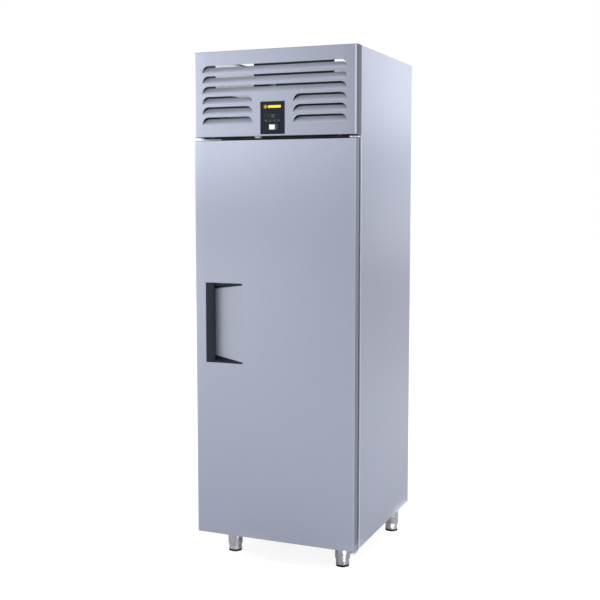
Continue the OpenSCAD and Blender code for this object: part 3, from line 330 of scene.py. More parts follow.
def levels(lo, hi, back_lo, back_hi, breaks=()):
    """Stations one way across a folded sheet: its return at the low edge, the quarter fold,
    the breaks of its face, and the same at the high edge. Each has an edge place, the side
    that the sheet lies on, the fold angle and the depth behind the fold."""
    a = np.linspace(0, QUARTER, 6)

    def end(edge, side, back):
        if not len(back):
            return np.array([[edge, 0, 0, 0]]).T
        angle = np.append(a, [QUARTER] * len(back))
        return np.stack(np.broadcast_arrays(edge, side, angle, np.append(0 * a, back)))
    middle = np.array([[b, 0, 0, 0] for b in breaks]).reshape(-1, 4).T
    return np.concatenate([end(lo, 1, back_lo)[:, ::-1], middle, end(hi, -1, back_hi)], 1)


def tray(across, up, drop, shift=lambda v: 0):
    """Folded sheet with returns, as a closed sheet over two crossed sets of levels. With fold
    radius r, angles a and b and depths d and e, the place is edge + side (t + (r - t)(1 - sin a))
    and the depth r - (r - t) cos a cos b + d + e, for t = 0 outside and the sheet's thickness
    inside. The corners between returns are left out, and so are the cells that drop names;
    shift moves points across the sheet. Points come out as (across, up, depth)."""
    grids = []
    for t in (0, SHEET):
        u, v = [s[0] + s[1] * (t + (FOLD_R - t) * (1 - np.sin(s[2]))) for s in (across, up)]
        u, v = np.meshgrid(u, v)
        depth = (FOLD_R - (FOLD_R - t) * np.cos(up[2])[:, None] * np.cos(across[2])
                 + up[3][:, None] + across[3])
        grids.append(np.stack([u + shift(v), v, depth], -1))
    deep_up = np.maximum(up[3][1:], up[3][:-1])[:, None]
    deep_across = np.maximum(across[3][1:], across[3][:-1])
    g = grids[0]
    middle = (g[1:, 1:] + g[:-1, 1:] + g[1:, :-1] + g[:-1, :-1]) / 4
    return skin(*grids, ~((deep_up > 0) & (deep_across > 0) | drop(*np.moveaxis(middle, -1, 0))))


def facing_front(shape, y):
    """A tray's points laid out for a sheet that looks along -Y."""
    p, f = shape
    return in_axes(p[:, 0], y + p[:, 2], p[:, 1]), f


def inside(u, v, box):
    """True where (u, v) lies in a box (u0, u1, v0, v1)."""
    return (u > box[0]) & (u < box[1]) & (v > box[2]) & (v < box[3])


def placed(name, data):
    """An object with its data, put in the scene."""
    made = bpy.data.objects.new(name, data)
    bpy.context.scene.collection.objects.link(made)
    return made


def piece(name, shape, finish, replaces=(), body="cabinet", sharp=35, bevel=0.0, merge=True):
    """Mesh object from a shape: doubles merged, faces turned outwards, smooth apart from
    its sharp edges, riding on a body and standing for the CAD nodes that it replaces."""
    points, faces = shape
    mesh = bpy.data.meshes.new(name)
    mesh.from_pydata((points * MM).tolist(), [], faces)
    work = bmesh.new()
    work.from_mesh(mesh)
    if merge:
        bmesh.ops.remove_doubles(work, verts=work.verts, dist=1e-6)
    bmesh.ops.recalc_face_normals(work, faces=work.faces)
    work.to_mesh(mesh)
    work.free()
    mesh.shade_smooth()
    mesh.set_sharp_from_angle(angle=radians(sharp))
    mesh.materials.append(finishes[finish])
    made = placed(name, mesh)
    if bevel:
        edge = made.modifiers.new("edges", "BEVEL")
        edge.width = bevel * MM
        edge.segments = 2
        edge.limit_method = "ANGLE"
        edge.angle_limit = radians(40)
        edge.harden_normals = True
    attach(made, body)
    if replaces:
        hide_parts(*replaces)


# FINISHES

finishes = {}


def shade(colour, share=1):
    """A colour of four channels, made darker or lighter by a share."""
    return (*[min(1, c * share) for c in colour[:3]], 1.0)


def feed(socket, value):
    """Gives a node's input a value, or links another node's output to it."""
    if isinstance(value, bpy.types.NodeSocket):
        socket.id_data.links.new(value, socket)
    else:
        socket.default_value = value


def add_node(tree, kind, inputs=None, output=0, **settings):
    """Makes a shader node with its inputs and settings, and gives back one of its outputs."""
    made = tree.nodes.new("ShaderNode" + kind)
    for name, value in settings.items():
        setattr(made, name, value)
    for name, value in (inputs or {}).items():
        feed(made.inputs[name], value)
    return made.outputs[output]


class Finish:
    """A material in the making: its tree, its shader's inputs and the Object coordinates."""

    def __init__(self, name, colour, rough, metal=0.0, specular=0.5, coat=0.0):
        finishes[name] = bpy.data.materials.new(name)
        finishes[name].use_nodes = True
        self.tree = finishes[name].node_tree
        self.shader = self.tree.nodes["Principled BSDF"].inputs
        self.colour = shade(colour)
        self.rough = rough
        self.set("Base Color", self.colour)
        self.set("Roughness", rough)
        self.set("Metallic", metal)
        self.set("Specular IOR Level", specular)
        if coat:
            self.set("Coat Weight", coat)
            self.set("Coat Roughness", 0.12)
        self.place = self.node("TexCoord", output="Object")

    def set(self, socket, value):
        """Feeds one of the shader's inputs."""
        feed(self.shader[socket], value)

    def node(self, *values, **settings):
        """One output of a new node in this finish."""
        return add_node(self.tree, *values, **settings)

    def along(self, axis):
        """The place on one axis."""
        return self.node("SeparateXYZ", {"Vector": self.place}, axis)

    def noise(self, scale, stretch=(1, 1, 1), detail=3.0, rough=0.5, centre=(0, 0, 0)):
        """Noise on the object's coordinates, with its scale multiplied along each axis."""
        mapped = self.node("Mapping", {"Vector": self.place, "Location": centre,
                                       "Scale": [scale * s for s in stretch]})
        return self.node("TexNoise", {"Vector": mapped, "Scale": 1.0, "Detail": detail,
                                      "Roughness": rough})

    def between(self, value, start=0.3, stop=0.7, low=0, high=1):
        """The value's range from start to stop carried over to low to high."""
        return self.node("MapRange", {"Value": value, "From Min": start, "From Max": stop,
                                      "To Min": low, "To Max": high})

    def mixed(self, factor, first, second):
        """Two colours mixed by a factor."""
        made = self.tree.nodes.new("ShaderNodeMix")
        made.data_type = "RGBA"
        sockets = {s.identifier: s for s in (*made.inputs, *made.outputs)}
        feed(sockets["Factor_Float"], factor)
        feed(sockets["A_Color"], first)
        feed(sockets["B_Color"], second)
        return sockets["Result_Color"]

    def tint(self, factor, over, under=None):
        """Lays a colour by a factor over another, or over what makes the base colour so far."""
        if under is None:
            under = self.shader["Base Color"].links[0].from_socket
        self.set("Base Color", self.mixed(factor, under, over))

    def shades(self, value, spread, start=0.3, stop=0.7):
        """Base colour made darker and lighter by a spread as the value changes."""
        self.tint(self.between(value, start, stop), shade(self.colour, 1 + spread),
                  shade(self.colour, 1 - spread))

    def roughness(self, value, spread):
        """Roughness about its middle, by a spread each way as the value changes."""
        self.set("Roughness", self.between(value, low=self.rough - spread,
                                           high=self.rough + spread))

    def stretched(self, amount, turn):
        """Gloss drawn out round Z by an amount, turned by a share of a full turn."""
        self.set("Anisotropic", amount)
        self.set("Anisotropic Rotation", turn)
        self.set("Tangent", self.node("Tangent", direction_type="RADIAL", axis="Z"))

    def bump(self, *heights):
        """Bumps of (value, depth in metres), one on top of the other."""
        inputs = {"Strength": 1.0}
        for value, depth in heights:
            inputs.update({"Height": value, "Distance": depth})
            inputs["Normal"] = self.node("Bump", inputs)
        self.set("Normal", inputs["Normal"])


def brushed_steel(name, colour, rough, grain, streak=0.03, wave=0.005, metal=1.0):
    """Sheet steel brushed along one axis: fine long streaks in shade, gloss and height, a
    gloss stretched across the grain, and the slow waviness that a thin folded sheet keeps."""
    made = Finish(name, colour, rough, metal)
    short, long = [1.0, 1.0, 1.0], [1.0, 1.0, 1.0]
    short[grain], long[grain] = 0.01, 0.02
    fine = made.noise(3000, short, detail=2.0)
    broad = made.noise(700, long, detail=5.0, rough=0.7)
    slow = made.noise(2.2, (1, 1, 0.7), detail=1.0, centre=(0.3, 0.1, 0.7))
    made.shades(broad, streak)
    made.roughness(broad, 0.04)
    made.bump((slow, wave), (fine, 2e-6))
    made.stretched(0.7, 0.25 if grain == X else 0.0)
    return made


def paint_edge_shade(made, half, foot, head, front, back, near, far, fold):
    """Painted shade and highlight: returns beyond half a width, under a foot and over a head are
    painted darker, at a share of the colour that goes from near at the front to far at the back,
    and the side returns get a rougher gloss. The folds at the sides get a painted highlight,
    brighter to the fold share."""
    rim = 0.8 * MM
    out = made.node("Math", {0: made.along("X")}, operation="ABSOLUTE")
    height = made.along("Z")
    painted_shade = made.mixed(made.between(made.along("Y"), front, back), shade(made.colour, near),
                      shade(made.colour, far))
    made.tint(made.between(out, half - 8 * MM, half - 6.5 * MM), shade(made.colour, fold))
    for value, start, stop in ((out, half - rim, half), (height, foot + rim, foot),
                               (height, head - rim, head)):
        made.tint(made.between(value, start, stop), painted_shade)
    made.set("Roughness", made.between(out, half - rim, half, made.rough, made.rough + 0.2))


def painted_fold_highlight(made, y, share):
    """Painted highlight: folds that lie before y are painted brighter, to a share of the colour.
    """
    made.tint(made.between(made.along("Y"), y, y + 1 * MM, 1, 0), shade(made.colour, share))


def mottled(name, colour, rough, scale=700, depth=2e-5, spread=0.06, specular=0.5, coat=0.0,
            metal=0.0):
    """Moulded, painted or cast surface: fine grain in height, faint clouds in colour and
    gloss."""
    made = Finish(name, colour, rough, metal, specular, coat)
    cloud = made.noise(24)
    made.shades(cloud, spread)
    made.roughness(cloud, 0.05)
    made.bump((made.noise(scale, detail=2.0), depth))


def turned_chrome(name, colour, rough):
    """Polished tube: turning marks that run round Z, which draw a reflection out upwards."""
    made = Finish(name, colour, rough, metal=1.0)
    ring = made.noise(1800, (0.02, 0.02, 1.0), detail=2.0)
    made.shades(ring, 0.06)
    made.roughness(made.noise(40), 0.04)
    made.bump((ring, 3e-5))
    made.stretched(0.9, 0.25)


def spangled(name, colour, rough):
    """Hot-dipped sheet: crystals with their own shade and gloss, over fine frost."""
    made = Finish(name, colour, rough, metal=1.0)
    cell = made.node("TexVoronoi", {"Vector": made.place, "Scale": 85.0}, "Color")
    tone = made.node("SeparateColor", {"Color": cell}, "Red")
    made.shades(tone, 0.12, 0.0, 1.0)
    made.roughness(tone, 0.08)
    made.bump((made.noise(900), 1e-5))


def tarnished(name, colour, dark, rough):
    """Drawn copper tube: bright metal with brown clouds."""
    made = Finish(name, colour, rough, metal=1.0)
    cloud = made.noise(34, detail=5.0, rough=0.65)
    made.tint(made.between(cloud, 0.42, 0.68), shade(dark), made.colour)
    made.roughness(cloud, 0.08)
    made.bump((made.noise(500), 1e-5))


def expanded_foam(name, colour):
    """Cut polyurethane foam: pores in height and warm clouds in colour."""
    made = Finish(name, colour, 0.9)
    made.shades(made.noise(14, detail=4.0), 0.1)
    pore = made.node("TexVoronoi", {"Vector": made.place, "Scale": 900.0}, "Distance")
    made.bump((pore, 4e-4))


def half_in_painted_shade(name, left, right, x, rough):
    """One colour to the left of a plane across X and a second to the right; on the rocker the
    dark right half is painted shade.
    """
    made = Finish(name, left, rough)
    side = made.between(made.along("X"), x - 0.3 * MM, x + 0.3 * MM)
    made.tint(side, shade(right), made.colour)
    made.roughness(made.noise(60), 0.05)
    made.bump((made.noise(900), 8e-6))


STEEL = (0.345, 0.366, 0.450)
LINER = (0.55, 0.56, 0.60)
# Painted shade on the door's and panel's returns, and a painted highlight on their side folds
paint_edge_shade(brushed_steel("door_steel", STEEL, 0.42, Z), half=0.3482, foot=0.1153, head=1.7457,
           front=-0.367, back=-0.336, near=0.66, far=0.7, fold=1.05)
paint_edge_shade(brushed_steel("panel_steel", STEEL, 0.42, X), half=0.3496, foot=1.7599, head=2.0996,
           front=-0.368, back=-0.32, near=0.31, far=0.39, fold=1.7)
# Side and back steel: the door's steel painted 1.12 times lighter as painted light, with a painted
# highlight on the front folds
painted_fold_highlight(brushed_steel("side_steel_painted_lighter", shade(STEEL, 1.12), 0.42, Z), (frame_y + 4) * MM, 1.35)
# Handle slope, lower hinge bracket and cap: the door's steel painted darker and mostly diffuse, as
# painted shade
brushed_steel("slope_steel_painted_darker", shade(STEEL, 0.92), 0.55, Z, metal=0.25)
# Louvre blades: the door's steel painted 1.1 times lighter and half diffuse, as painted light in
# their shade
brushed_steel("blade_steel_painted_lighter", shade(STEEL, 1.1), 0.5, X, metal=0.5)
brushed_steel("liner_steel", LINER, 0.42, Z, wave=0.002)
brushed_steel("cross_grained_steel", LINER, 0.42, X, wave=0.002)
brushed_steel("fin_aluminium", (0.66, 0.67, 0.69), 0.36, Z, 0.08, 0.0)
mottled("zinc_plate", (0.52, 0.53, 0.56), 0.34, 500, 1e-5, metal=1.0)
spangled("galvanised_sheet", (0.50, 0.52, 0.55), 0.38)
tarnished("copper_tube", (0.72, 0.40, 0.26), (0.36, 0.20, 0.14), 0.30)
turned_chrome("leg_chrome", (0.40, 0.405, 0.44), 0.28)
mottled("black_enamel_and_painted_shade", (0.022, 0.023, 0.026), 0.34, 260, 3e-5, 0.2, coat=0.3)
mottled("grey_wire_coating", (0.62, 0.64, 0.66), 0.36, 300, 2e-5, 0.05, coat=0.3)
mottled("handle_plastic", (0.007, 0.010, 0.020), 0.42, 1500, 3e-5, 0.12, 0.2)
mottled("foot_plastic", (0.002, 0.002, 0.003), 0.7, 900, 3e-5, 0.12, 0.04)
mottled("moulded_black", (0.012, 0.013, 0.016), 0.45, 1200, 3e-5, 0.12, 0.25)
mottled("control_plate_film", (0.005, 0.008, 0.018), 0.3, 900, 4e-6, 0.08, 0.17)
mottled("display_window", (0.003, 0.005, 0.012), 0.12, 90, 1e-6, 0.2, 0.3)
mottled("edge_frame_plastic", (0.014, 0.015, 0.019), 0.5, 1100, 3e-5, 0.1, 0.3)
mottled("white_plastic", (0.74, 0.75, 0.76), 0.3, 800, 6e-6, 0.03, coat=0.2)
mottled("seal_rubber", (0.024, 0.025, 0.028), 0.6, 700, 2e-5, 0.12)
mottled("black_rubber_and_painted_shade", (0.02, 0.02, 0.021), 0.7, 500, 4e-5, 0.15)
mottled("key_caps", (0.02, 0.024, 0.04), 0.45, 1200, 1e-5, 0.06, 0.25)
mottled("grey_print", (0.13, 0.14, 0.17), 0.5, 900, 2e-6, 0.05)
mottled("digit_print", (0.10, 0.11, 0.13), 0.4, 900, 2e-6, 0.05)
mottled("amber_print", (0.92, 0.66, 0.01), 0.42, 900, 2e-6, 0.04)
expanded_foam("insulating_foam", (0.74, 0.62, 0.34))
# Rocker: white, with its right half painted dark as painted shade
half_in_painted_shade("rocker_white_with_painted_shade", (0.82, 0.83, 0.85), (0.05, 0.05, 0.06), 8.5 * MM, 0.3)


# CABINET SHELL


def side_sheet():
    """Left side: outer sheet with its frame lip, back lip and top hem. Above the deck the
    frame lip narrows to the edge lip."""
    lip = EDGE_LIP - FOLD_R
    across = levels(frame_y, side_hi[Y] - SHEET, [lip, FRAME_LIP - FOLD_R], [lip])
    up = levels(side_lo[Z], side_hi[Z], [], [lip], [deck_z])
    p, f = tray(across, up, lambda u, v, d: (d > EDGE_LIP) & (v > deck_z))
    return in_axes(p[:, 2] - side_hi[X], p[:, 0], p[:, 1]), f


for side, sheet in (("left", side_sheet()), ("right", mirrored(side_sheet()))):
    piece(side + "_side_sheet", sheet, "side_steel_painted_lighter", [side + "_side_panel"],
          merge=False)


# FRONT PANEL


def louvre_rows():
    """Left end, right end and foot of each louvre, from the lowest row up."""
    half = panel_hi[X] - LOUVRE_MARGIN
    feet = panel_lo[Z] + LOUVRE_Z + np.arange(SPLIT_ROWS + FULL_ROWS) * LOUVRE_PITCH
    split = [(x0, x1, z) for z in feet[:SPLIT_ROWS]
             for x0, x1 in ((-half, -SPLIT_GAP / 2), (SPLIT_GAP / 2, half))]
    return split + [(-half, half, z) for z in feet[SPLIT_ROWS:]]


def shoulder(rise, height, radius):
    """Inset of a louvre's side at a height over its foot: none up to the shoulder, then
    r - sqrt(r^2 - h^2) round it."""
    over = np.clip(rise - (height - radius), 0, radius)
    return radius - np.sqrt(radius ** 2 - over ** 2)


def front_sheet():
    """Front panel: tray with foot, head and side returns. Its stations follow the shoulders
    of the louvres, and the cells inside the louvres and behind the controls are left out."""
    rows = louvre_rows()
    feet = np.unique([z for _, _, z in rows])
    arc = LOUVRE_R * np.sin(np.linspace(0, QUARTER, 8))
    rise = np.concatenate([[0], LOUVRE_H - LOUVRE_R + arc])
    drawn_z = (feet[:, None] + rise).ravel()
    drawn = np.tile(shoulder(rise, LOUVRE_H, LOUVRE_R), len(feet))
    half, gap = panel_hi[X] - LOUVRE_MARGIN, SPLIT_GAP / 2
    breaks = [-half, -gap, MODULE_HOLE[0], *SWITCH_HOLE[:2], MODULE_HOLE[1], gap, half]
    side = [frame_y - panel_lo[Y] - FOLD_R]
    across = levels(panel_lo[X], panel_hi[X], side, side, breaks)
    up = levels(panel_lo[Z], panel_hi[Z], [FOOT_RETURN - FOLD_R], [HEAD_RETURN - FOLD_R],
                np.unique([*drawn_z, *MODULE_HOLE[2:], *SWITCH_HOLE[2:]]))
    lean = np.pad([1, -1, 0, 0, 0, 0, 1, -1], (across.shape[1] - len(breaks)) // 2)

    def shift(v):
        return np.interp(v, drawn_z, drawn) * lean

    def drop(u, v, d):
        gone = inside(u, v, MODULE_HOLE) | inside(u, v, SWITCH_HOLE)
        for x0, x1, z in rows:
            gone |= inside(u, v, (x0, x1, z, z + LOUVRE_H))
        return gone & (d < FOLD_R)
    return facing_front(tray(across, up, drop, shift), panel_lo[Y])


def louvre_blade(x0, x1, foot):
    """Blade pressed in from its foot: up a distance v it follows a bend of radius R, then
    leans straight back, and its ends draw in round the shoulders; the back face lies one
    sheet further along the blade's normal."""
    height, radius = LOUVRE_H - LOUVRE_KERF, LOUVRE_R - LOUVRE_KERF
    bend = np.linspace(0, LOUVRE_BEND * LOUVRE_TILT, 5)
    v = np.concatenate([bend, height - radius + radius * np.sin(np.linspace(0, QUARTER, 9))])
    inset = LOUVRE_KERF + shoulder(v, height, radius)
    angle = np.minimum(v / LOUVRE_BEND, LOUVRE_TILT)[:, None]
    straight = v[:, None] - LOUVRE_BEND * angle
    x = np.stack([x0 + inset, x1 - inset], -1)
    grids = []
    for t in (0, SHEET):
        y = LOUVRE_BEND * (1 - np.cos(angle)) + straight * np.sin(angle) + t * np.cos(angle)
        z = LOUVRE_BEND * np.sin(angle) + straight * np.cos(angle) - t * np.sin(angle)
        grids.append(in_axes(x, panel_lo[Y] + y, foot + z))
    return skin(*grids)


piece("front_louvre_sheet", front_sheet(), "panel_steel", ["front_louvre_panel"],
      merge=False)
piece("front_louvre_blades", join(*[louvre_blade(*row) for row in louvre_rows()]), "blade_steel_painted_lighter",
      ["front_louvre_panel"], merge=False)


# CONTROLS


def control_plate():
    """Black plate: a flat grid of cells, with those of the window, keys and switch left out."""
    holes = [WINDOW, SWITCH]
    for name in KEY_NAMES:
        lo, hi = low_high(name)
        holes.append((lo[X] - KEY_CLEAR, hi[X] + KEY_CLEAR, lo[Z] - KEY_CLEAR, hi[Z] + KEY_CLEAR))
    xs = np.unique([fascia_lo[X], fascia_hi[X], *[x for h in holes for x in h[:2]]])
    zs = np.unique([fascia_lo[Z], fascia_hi[Z], *[z for h in holes for z in h[2:]]])
    u, v = np.meshgrid((xs[1:] + xs[:-1]) / 2, (zs[1:] + zs[:-1]) / 2)
    keep = np.ones(u.shape, bool)
    for hole in holes:
        keep &= ~inside(u, v, hole)
    x, z = np.meshgrid(xs, zs)
    return skin(in_axes(x, fascia_lo[Y], z), in_axes(x, fascia_hi[Y], z), keep)


def on_front(outlines, y0, y1):
    """Thin flat prints or keys: outlines of (x, z) carried from y0 to y1."""
    return join(*[prism(o, y0, y1, (X, Z, Y)) for o in outlines])


def bar(a, b, width):
    """Outline of a straight bar between two points."""
    a, b = np.array(a), np.array(b)
    u = (b - a) / np.linalg.norm(b - a)
    n = np.array([-u[1], u[0]]) * width / 2
    return np.array([a - n, b - n, b + n, a + n])


def snowflake(middle, radius, width):
    """Outlines of a six-armed frost sign: three bars, and a pair of twigs on each arm."""
    def step(angle, length):
        return length * radius * np.array([cos(angle), sin(angle)])
    angles = [(k + 0.5) * pi / 3 for k in range(6)]
    made = [bar(middle - step(a, 1), middle + step(a, 1), width) for a in angles[:3]]
    for a in angles:
        root = middle + step(a, 0.5)
        made += [bar(root, root + step(a + turn, 0.38), width * 0.8) for turn in (-0.9, 0.9)]
    return made


def seven_segments(lit, x, z, width=6, height=12, stroke=1.5):
    """Outlines of one leaning display figure: bars a to g, named as on any such display."""
    places = {"a": (0, 1, 1, 1), "b": (1, 1, 1, 0.5), "c": (1, 0.5, 1, 0), "d": (0, 0, 1, 0),
              "e": (0, 0.5, 0, 0), "f": (0, 1, 0, 0.5), "g": (0, 0.5, 1, 0.5)}
    made = []
    for name in lit:
        a, b = np.reshape(places[name], (2, 2)) @ [(width, 0), (0.1 * height, height)] + (x, z)
        gap = 0.18 * stroke / height * (b - a)
        made.append(bar(a + gap, b - gap, stroke))
    return made


def key_signs():
    """Outlines of the four key signs, each about its own middle."""
    w = 2.2
    return {"key_set": [rectangle(-w, w, -w, w, 0.8)],
            "key_up": [np.array([(-w, -0.7 * w), (w, -0.7 * w), (0, 0.9 * w)])],
            "key_down": [np.array([(-w, 0.7 * w), (0, -0.9 * w), (w, 0.7 * w)])],
            "key_defrost": snowflake((0, 0), 1.2 * w, 0.5)}


piece("control_plate", control_plate(), "control_plate_film", ["control_fascia"],
      bevel=0.25)
sign_y = (fascia_lo[Y] - 0.12, fascia_lo[Y] + 0.1)
sign = [*snowflake((-31, 1874), 7.5, 1.3), rectangle(-20, 36, 1869, 1879, 2)]
piece("plate_sign", on_front(sign, *sign_y), "amber_print")
digits = [bar((-19, 1837.5), (-14, 1837.5), 1.3),
          *seven_segments("bc", -11.5, 1831.5), *seven_segments("abcdefg", 0, 1831.5)]
piece("display_figures", on_front(digits, *sign_y), "digit_print")
for key_name, outlines in key_signs().items():
    lo, hi = low_high(key_name)
    middle = (lo + hi)[[X, Z]] / 2
    piece(key_name + "_sign", on_front([o + middle for o in outlines], lo[Y] + 0.1, lo[Y] + 0.6),
          "grey_print", body=key_name)


# DOOR


def door_sheet():
    """Door front: tray with returns on all four sides and the window of the handle."""
    back = [door_hi[Y] - door_y - FOLD_R]
    across = levels(door_lo[X], door_hi[X], back, back, POCKET[:2])
    up = levels(door_lo[Z], door_hi[Z], back, back, POCKET[2:])
    return facing_front(tray(across, up, lambda u, v, d: inside(u, v, POCKET) & (d < FOLD_R)),
                        door_y)


def handle_slope():
    """Steel behind the grip: flush with the door at its tip, a slow bend, then a straight
    slope down to the flat behind the grip."""
    path = rounded([(pocket_x, door_y + POCKET_D), (pocket_x + GRIP_W / 2, door_y + POCKET_D),
                    (pocket_tip - 10, door_y), (pocket_tip, door_y)], [24, 78], steps=10)
    return folded(path, *POCKET[2:])


def handle_moulding():
    """Black handle: grip bar with a crowned front, side wall, and two cheeks whose faces
    slope from a thin rim at the door's face to their full height at the back."""
    z0, z1 = POCKET[2:]
    front, back = door_y - GRIP_PROUD, door_y + POCKET_D
    x = np.linspace(-1, 1, 13)
    shell = np.stack([pocket_x + GRIP_W / 2 + x * (GRIP_W / 2 - 0.05),
                      front + 0.8 * x ** 2 + 1.2 * np.abs(x) ** 14], -1)
    outline = np.concatenate([shell, [(pocket_x + GRIP_W, front + GRIP_T),
                                      (pocket_x, front + GRIP_T)]])
    grip = prism(outline, z0, z1, bevel=1.2, steps=3)
    wall = prism(rectangle(pocket_x, pocket_x + 2, front + 3, back), z0, z1)
    plan = np.array([(pocket_x, door_y), (pocket_tip, door_y), (pocket_x + GRIP_W, back),
                     (pocket_x, back)])
    high = CHEEK_RIM + (CHEEK_H - CHEEK_RIM) * (plan[:, 1] - door_y) / POCKET_D
    lower = loft(in_axes(plan[:, 0], plan[:, 1], z0 + np.outer([0, 1], high)))
    upper = (lower[0] * [1, 1, -1] + [0, 0, z0 + z1], lower[1])
    return join(grip, wall, lower, upper)


def door_seal():
    """Magnetic seal: barb, foot, two bellows folds and the rounded magnet bag, as one
    profile of (distance from the door's edge, depth) carried round the door. The bag is
    drawn 15.4 deep, and the depths over the foot stretch to reach the frame."""
    y0 = low_high("door_edge_frame")[1][Y]
    reach = (frame_y - 0.3 - y0) / 15.4
    profile = np.array([(10, -4), (14, -4), (13, 0), (24, 0), (24, 2.4), (20.5, 3.2), (21.5, 5),
                        (18, 7), (22.5, 9.2), (22.5, 13.4), (20.8, 15.4), (3.2, 15.4), (1.5, 13.4),
                        (1.5, 9.2), (6, 7), (2.5, 5), (3.5, 3.2), (0, 2.4), (0, 0), (11, 0)])
    profile[:, 1] *= np.where(profile[:, 1] > 0, reach, 1)
    return framed(door_lo[X], door_hi[X], door_lo[Z], door_hi[Z], profile + (SEAL_INSET, y0))


piece("door_sheet", door_sheet(), "door_steel", ["door_skin"], "door", merge=False)
piece("handle_slope", handle_slope(), "slope_steel_painted_darker", ["handle_ramp"], "door", sharp=60)
piece("handle_moulding", handle_moulding(), "handle_plastic", ["handle_grip"],
      "door", bevel=0.7)
piece("door_seal", door_seal(), "seal_rubber", ["door_gasket"], "door")


# SCREWS


def screw_head(centre, axes):
    """Pan head with a cross recess, as a height over a disc: h = H sqrt(1 - 0.6 q^2) for a
    radius share q, less the recess where either arm of the cross lies."""
    q = np.array([0, 0.12, 0.2, 0.3, 0.42, 0.52, 0.62, 0.8, 0.95, 1.0])[:, None]
    a = np.arange(32) * pi / 16
    u, v = q * np.cos(a), q * np.sin(a)
    arm = np.minimum(np.abs(u), np.abs(v))
    reach = np.maximum(np.abs(u), np.abs(v))
    cut = np.clip((0.17 - arm) / 0.05, 0, 1) * np.clip((0.6 - reach) / 0.1, 0, 1)
    h = SCREW_H * np.sqrt(1 - 0.6 * q ** 2) * (1 - 0.55 * cut)
    h = np.concatenate([h, 0 * h[:2]])
    u, v = [SCREW_R * np.concatenate([w, w[-1:], 0 * w[:1]]) for w in (u, v)]
    return loft(in_axes(u, v, -h, axes) + centre, caps=False)


def all_screws():
    """Hinge screws, and the screws in the front panel's foot return."""
    ends = [door_hi[Z] - 22, door_hi[Z] - 46, door_lo[Z] + 22, door_lo[Z] + 46]
    heads = [screw_head((HINGE_X, frame_y - 4, z), (X, Z, Y)) for z in ends]
    heads += [screw_head((x, panel_lo[Y] + 20, panel_lo[Z]), (X, Y, Z)) for x in (-275, 275)]
    return join(*heads)


def hinge_cap():
    """Steel cap under the lower hinge plate, flush with the door's front corner."""
    return prism(rectangle(332, 347.5, -367, -325, 3), 104.6, 107.9, bevel=0.6)


piece("screws", all_screws(), "zinc_plate", ["fasteners"])
piece("lower_hinge_cap", hinge_cap(), "slope_steel_painted_darker")


# LEGS


def leg_tube_set():
    """Fixed tubes with a rolled lower lip and a weld bead, their rounded plates, and four
    hexagon bolts in each plate."""
    r, inner, foot = LEG_D / 2, LEG_D / 2 - LEG_WALL, FOOT_SHOW
    top = low_high("leg_tubes")[1][Z]
    head = top - 4
    profile = [(inner, foot + 1.2), (inner + 1, foot), (r - 1.2, foot), (r - 0.3, foot + 0.5),
               (r, foot + 1.4), (r, head - 1.5), (r + 1.5, head), (inner, head)]
    bolts = tile(prism(circle(6.5, 6), head - 4, head, bevel=0.5),
                 [(x, y, 0) for x in (33, -33) for y in (33, -33)])
    plate = prism(rectangle(-42, 42, -42, 42, 8), head, top, bevel=0.6)
    return tile(join(revolved(profile, closed=True), plate, bolts),
                [(x, y, 0) for x, y in LEGS.values()])


def foot_sleeve(x, y):
    """Steel sleeve of a levelling foot, open at its top."""
    r, inner = SLEEVE_R, SLEEVE_R - 3
    profile = [(0.2, 12), (inner, 12), (inner, 65), (inner + 1, 66), (r - 0.6, 66), (r, 65.2),
               (r, 11.2), (r + 0.9, 10.2), (r + 0.9, 9.2), (0.2, 9.2)]
    return revolved(profile, (x, y, 0), closed=True)


def foot_base(x, y):
    """Black base with six flats, set as it was last screwed: the radius at an angle is the
    smaller of the collar's and flat / cos(angle to the nearest flat's middle)."""
    collar, flat = SLEEVE_R + 2.2, SLEEVE_R - 0.8
    a = np.arange(96) * 2 * pi / 96
    off = (a + pi / 6) % (pi / 3) - pi / 6
    z = np.array([0, 0, 0.5, 1.6, 8.8, 9.2, 9.2])[:, None]
    limit = np.array([0.3, collar - 2, collar - 0.8, collar, collar, collar - 0.4, 0.3])
    r = np.minimum(limit[:, None], flat / np.cos(off))
    return loft(in_axes(r * np.cos(a + FOOT_TURN) + x, r * np.sin(a + FOOT_TURN) + y, z))


piece("leg_tube_set", leg_tube_set(), "leg_chrome", ["leg_tubes"])
for foot_name, place in LEGS.items():
    piece(foot_name + "_sleeve", foot_sleeve(*place), "leg_chrome", [foot_name], foot_name)
    piece(foot_name + "_base", foot_base(*place), "foot_plastic", [foot_name],
          foot_name)


# SHELVES


def wire_shelf(node):
    """Wire shelf inside its CAD node's box: side rods, cross rods and 19 wires on top."""
    lo, hi = low_high(node)
    rod, wire = 6, 3
    z = lo[Z] + rod / 2
    wire_z = min(z + rod / 2 + wire / 2 - 1, hi[Z] - wire / 2)
    x0, x1 = lo[X] + rod / 2, hi[X] - rod / 2
    rods = [tube([(x, lo[Y], z), (x, hi[Y], z)], rod / 2, 12) for x in (x0, x1)]
    rods += [tube([(x0, y, z), (x1, y, z)], rod / 2 - 0.5, 10)
             for y in (lo[Y] + 6, (lo[Y] + hi[Y]) / 2, hi[Y] - 6)]
    step = (x1 - x0 - 2 * rod) / 20
    one = tube([(0, lo[Y], wire_z), (0, hi[Y], wire_z)], wire / 2, 8)
    return join(*rods, tile(one, [(x0 + rod + i * step, 0, 0) for i in range(1, 20)]))


for shelf in ("lower_shelf", "middle_shelf", "upper_shelf"):
    piece(shelf + "_wires", wire_shelf(shelf), "grey_wire_coating", [shelf])


# COILS AND FANS


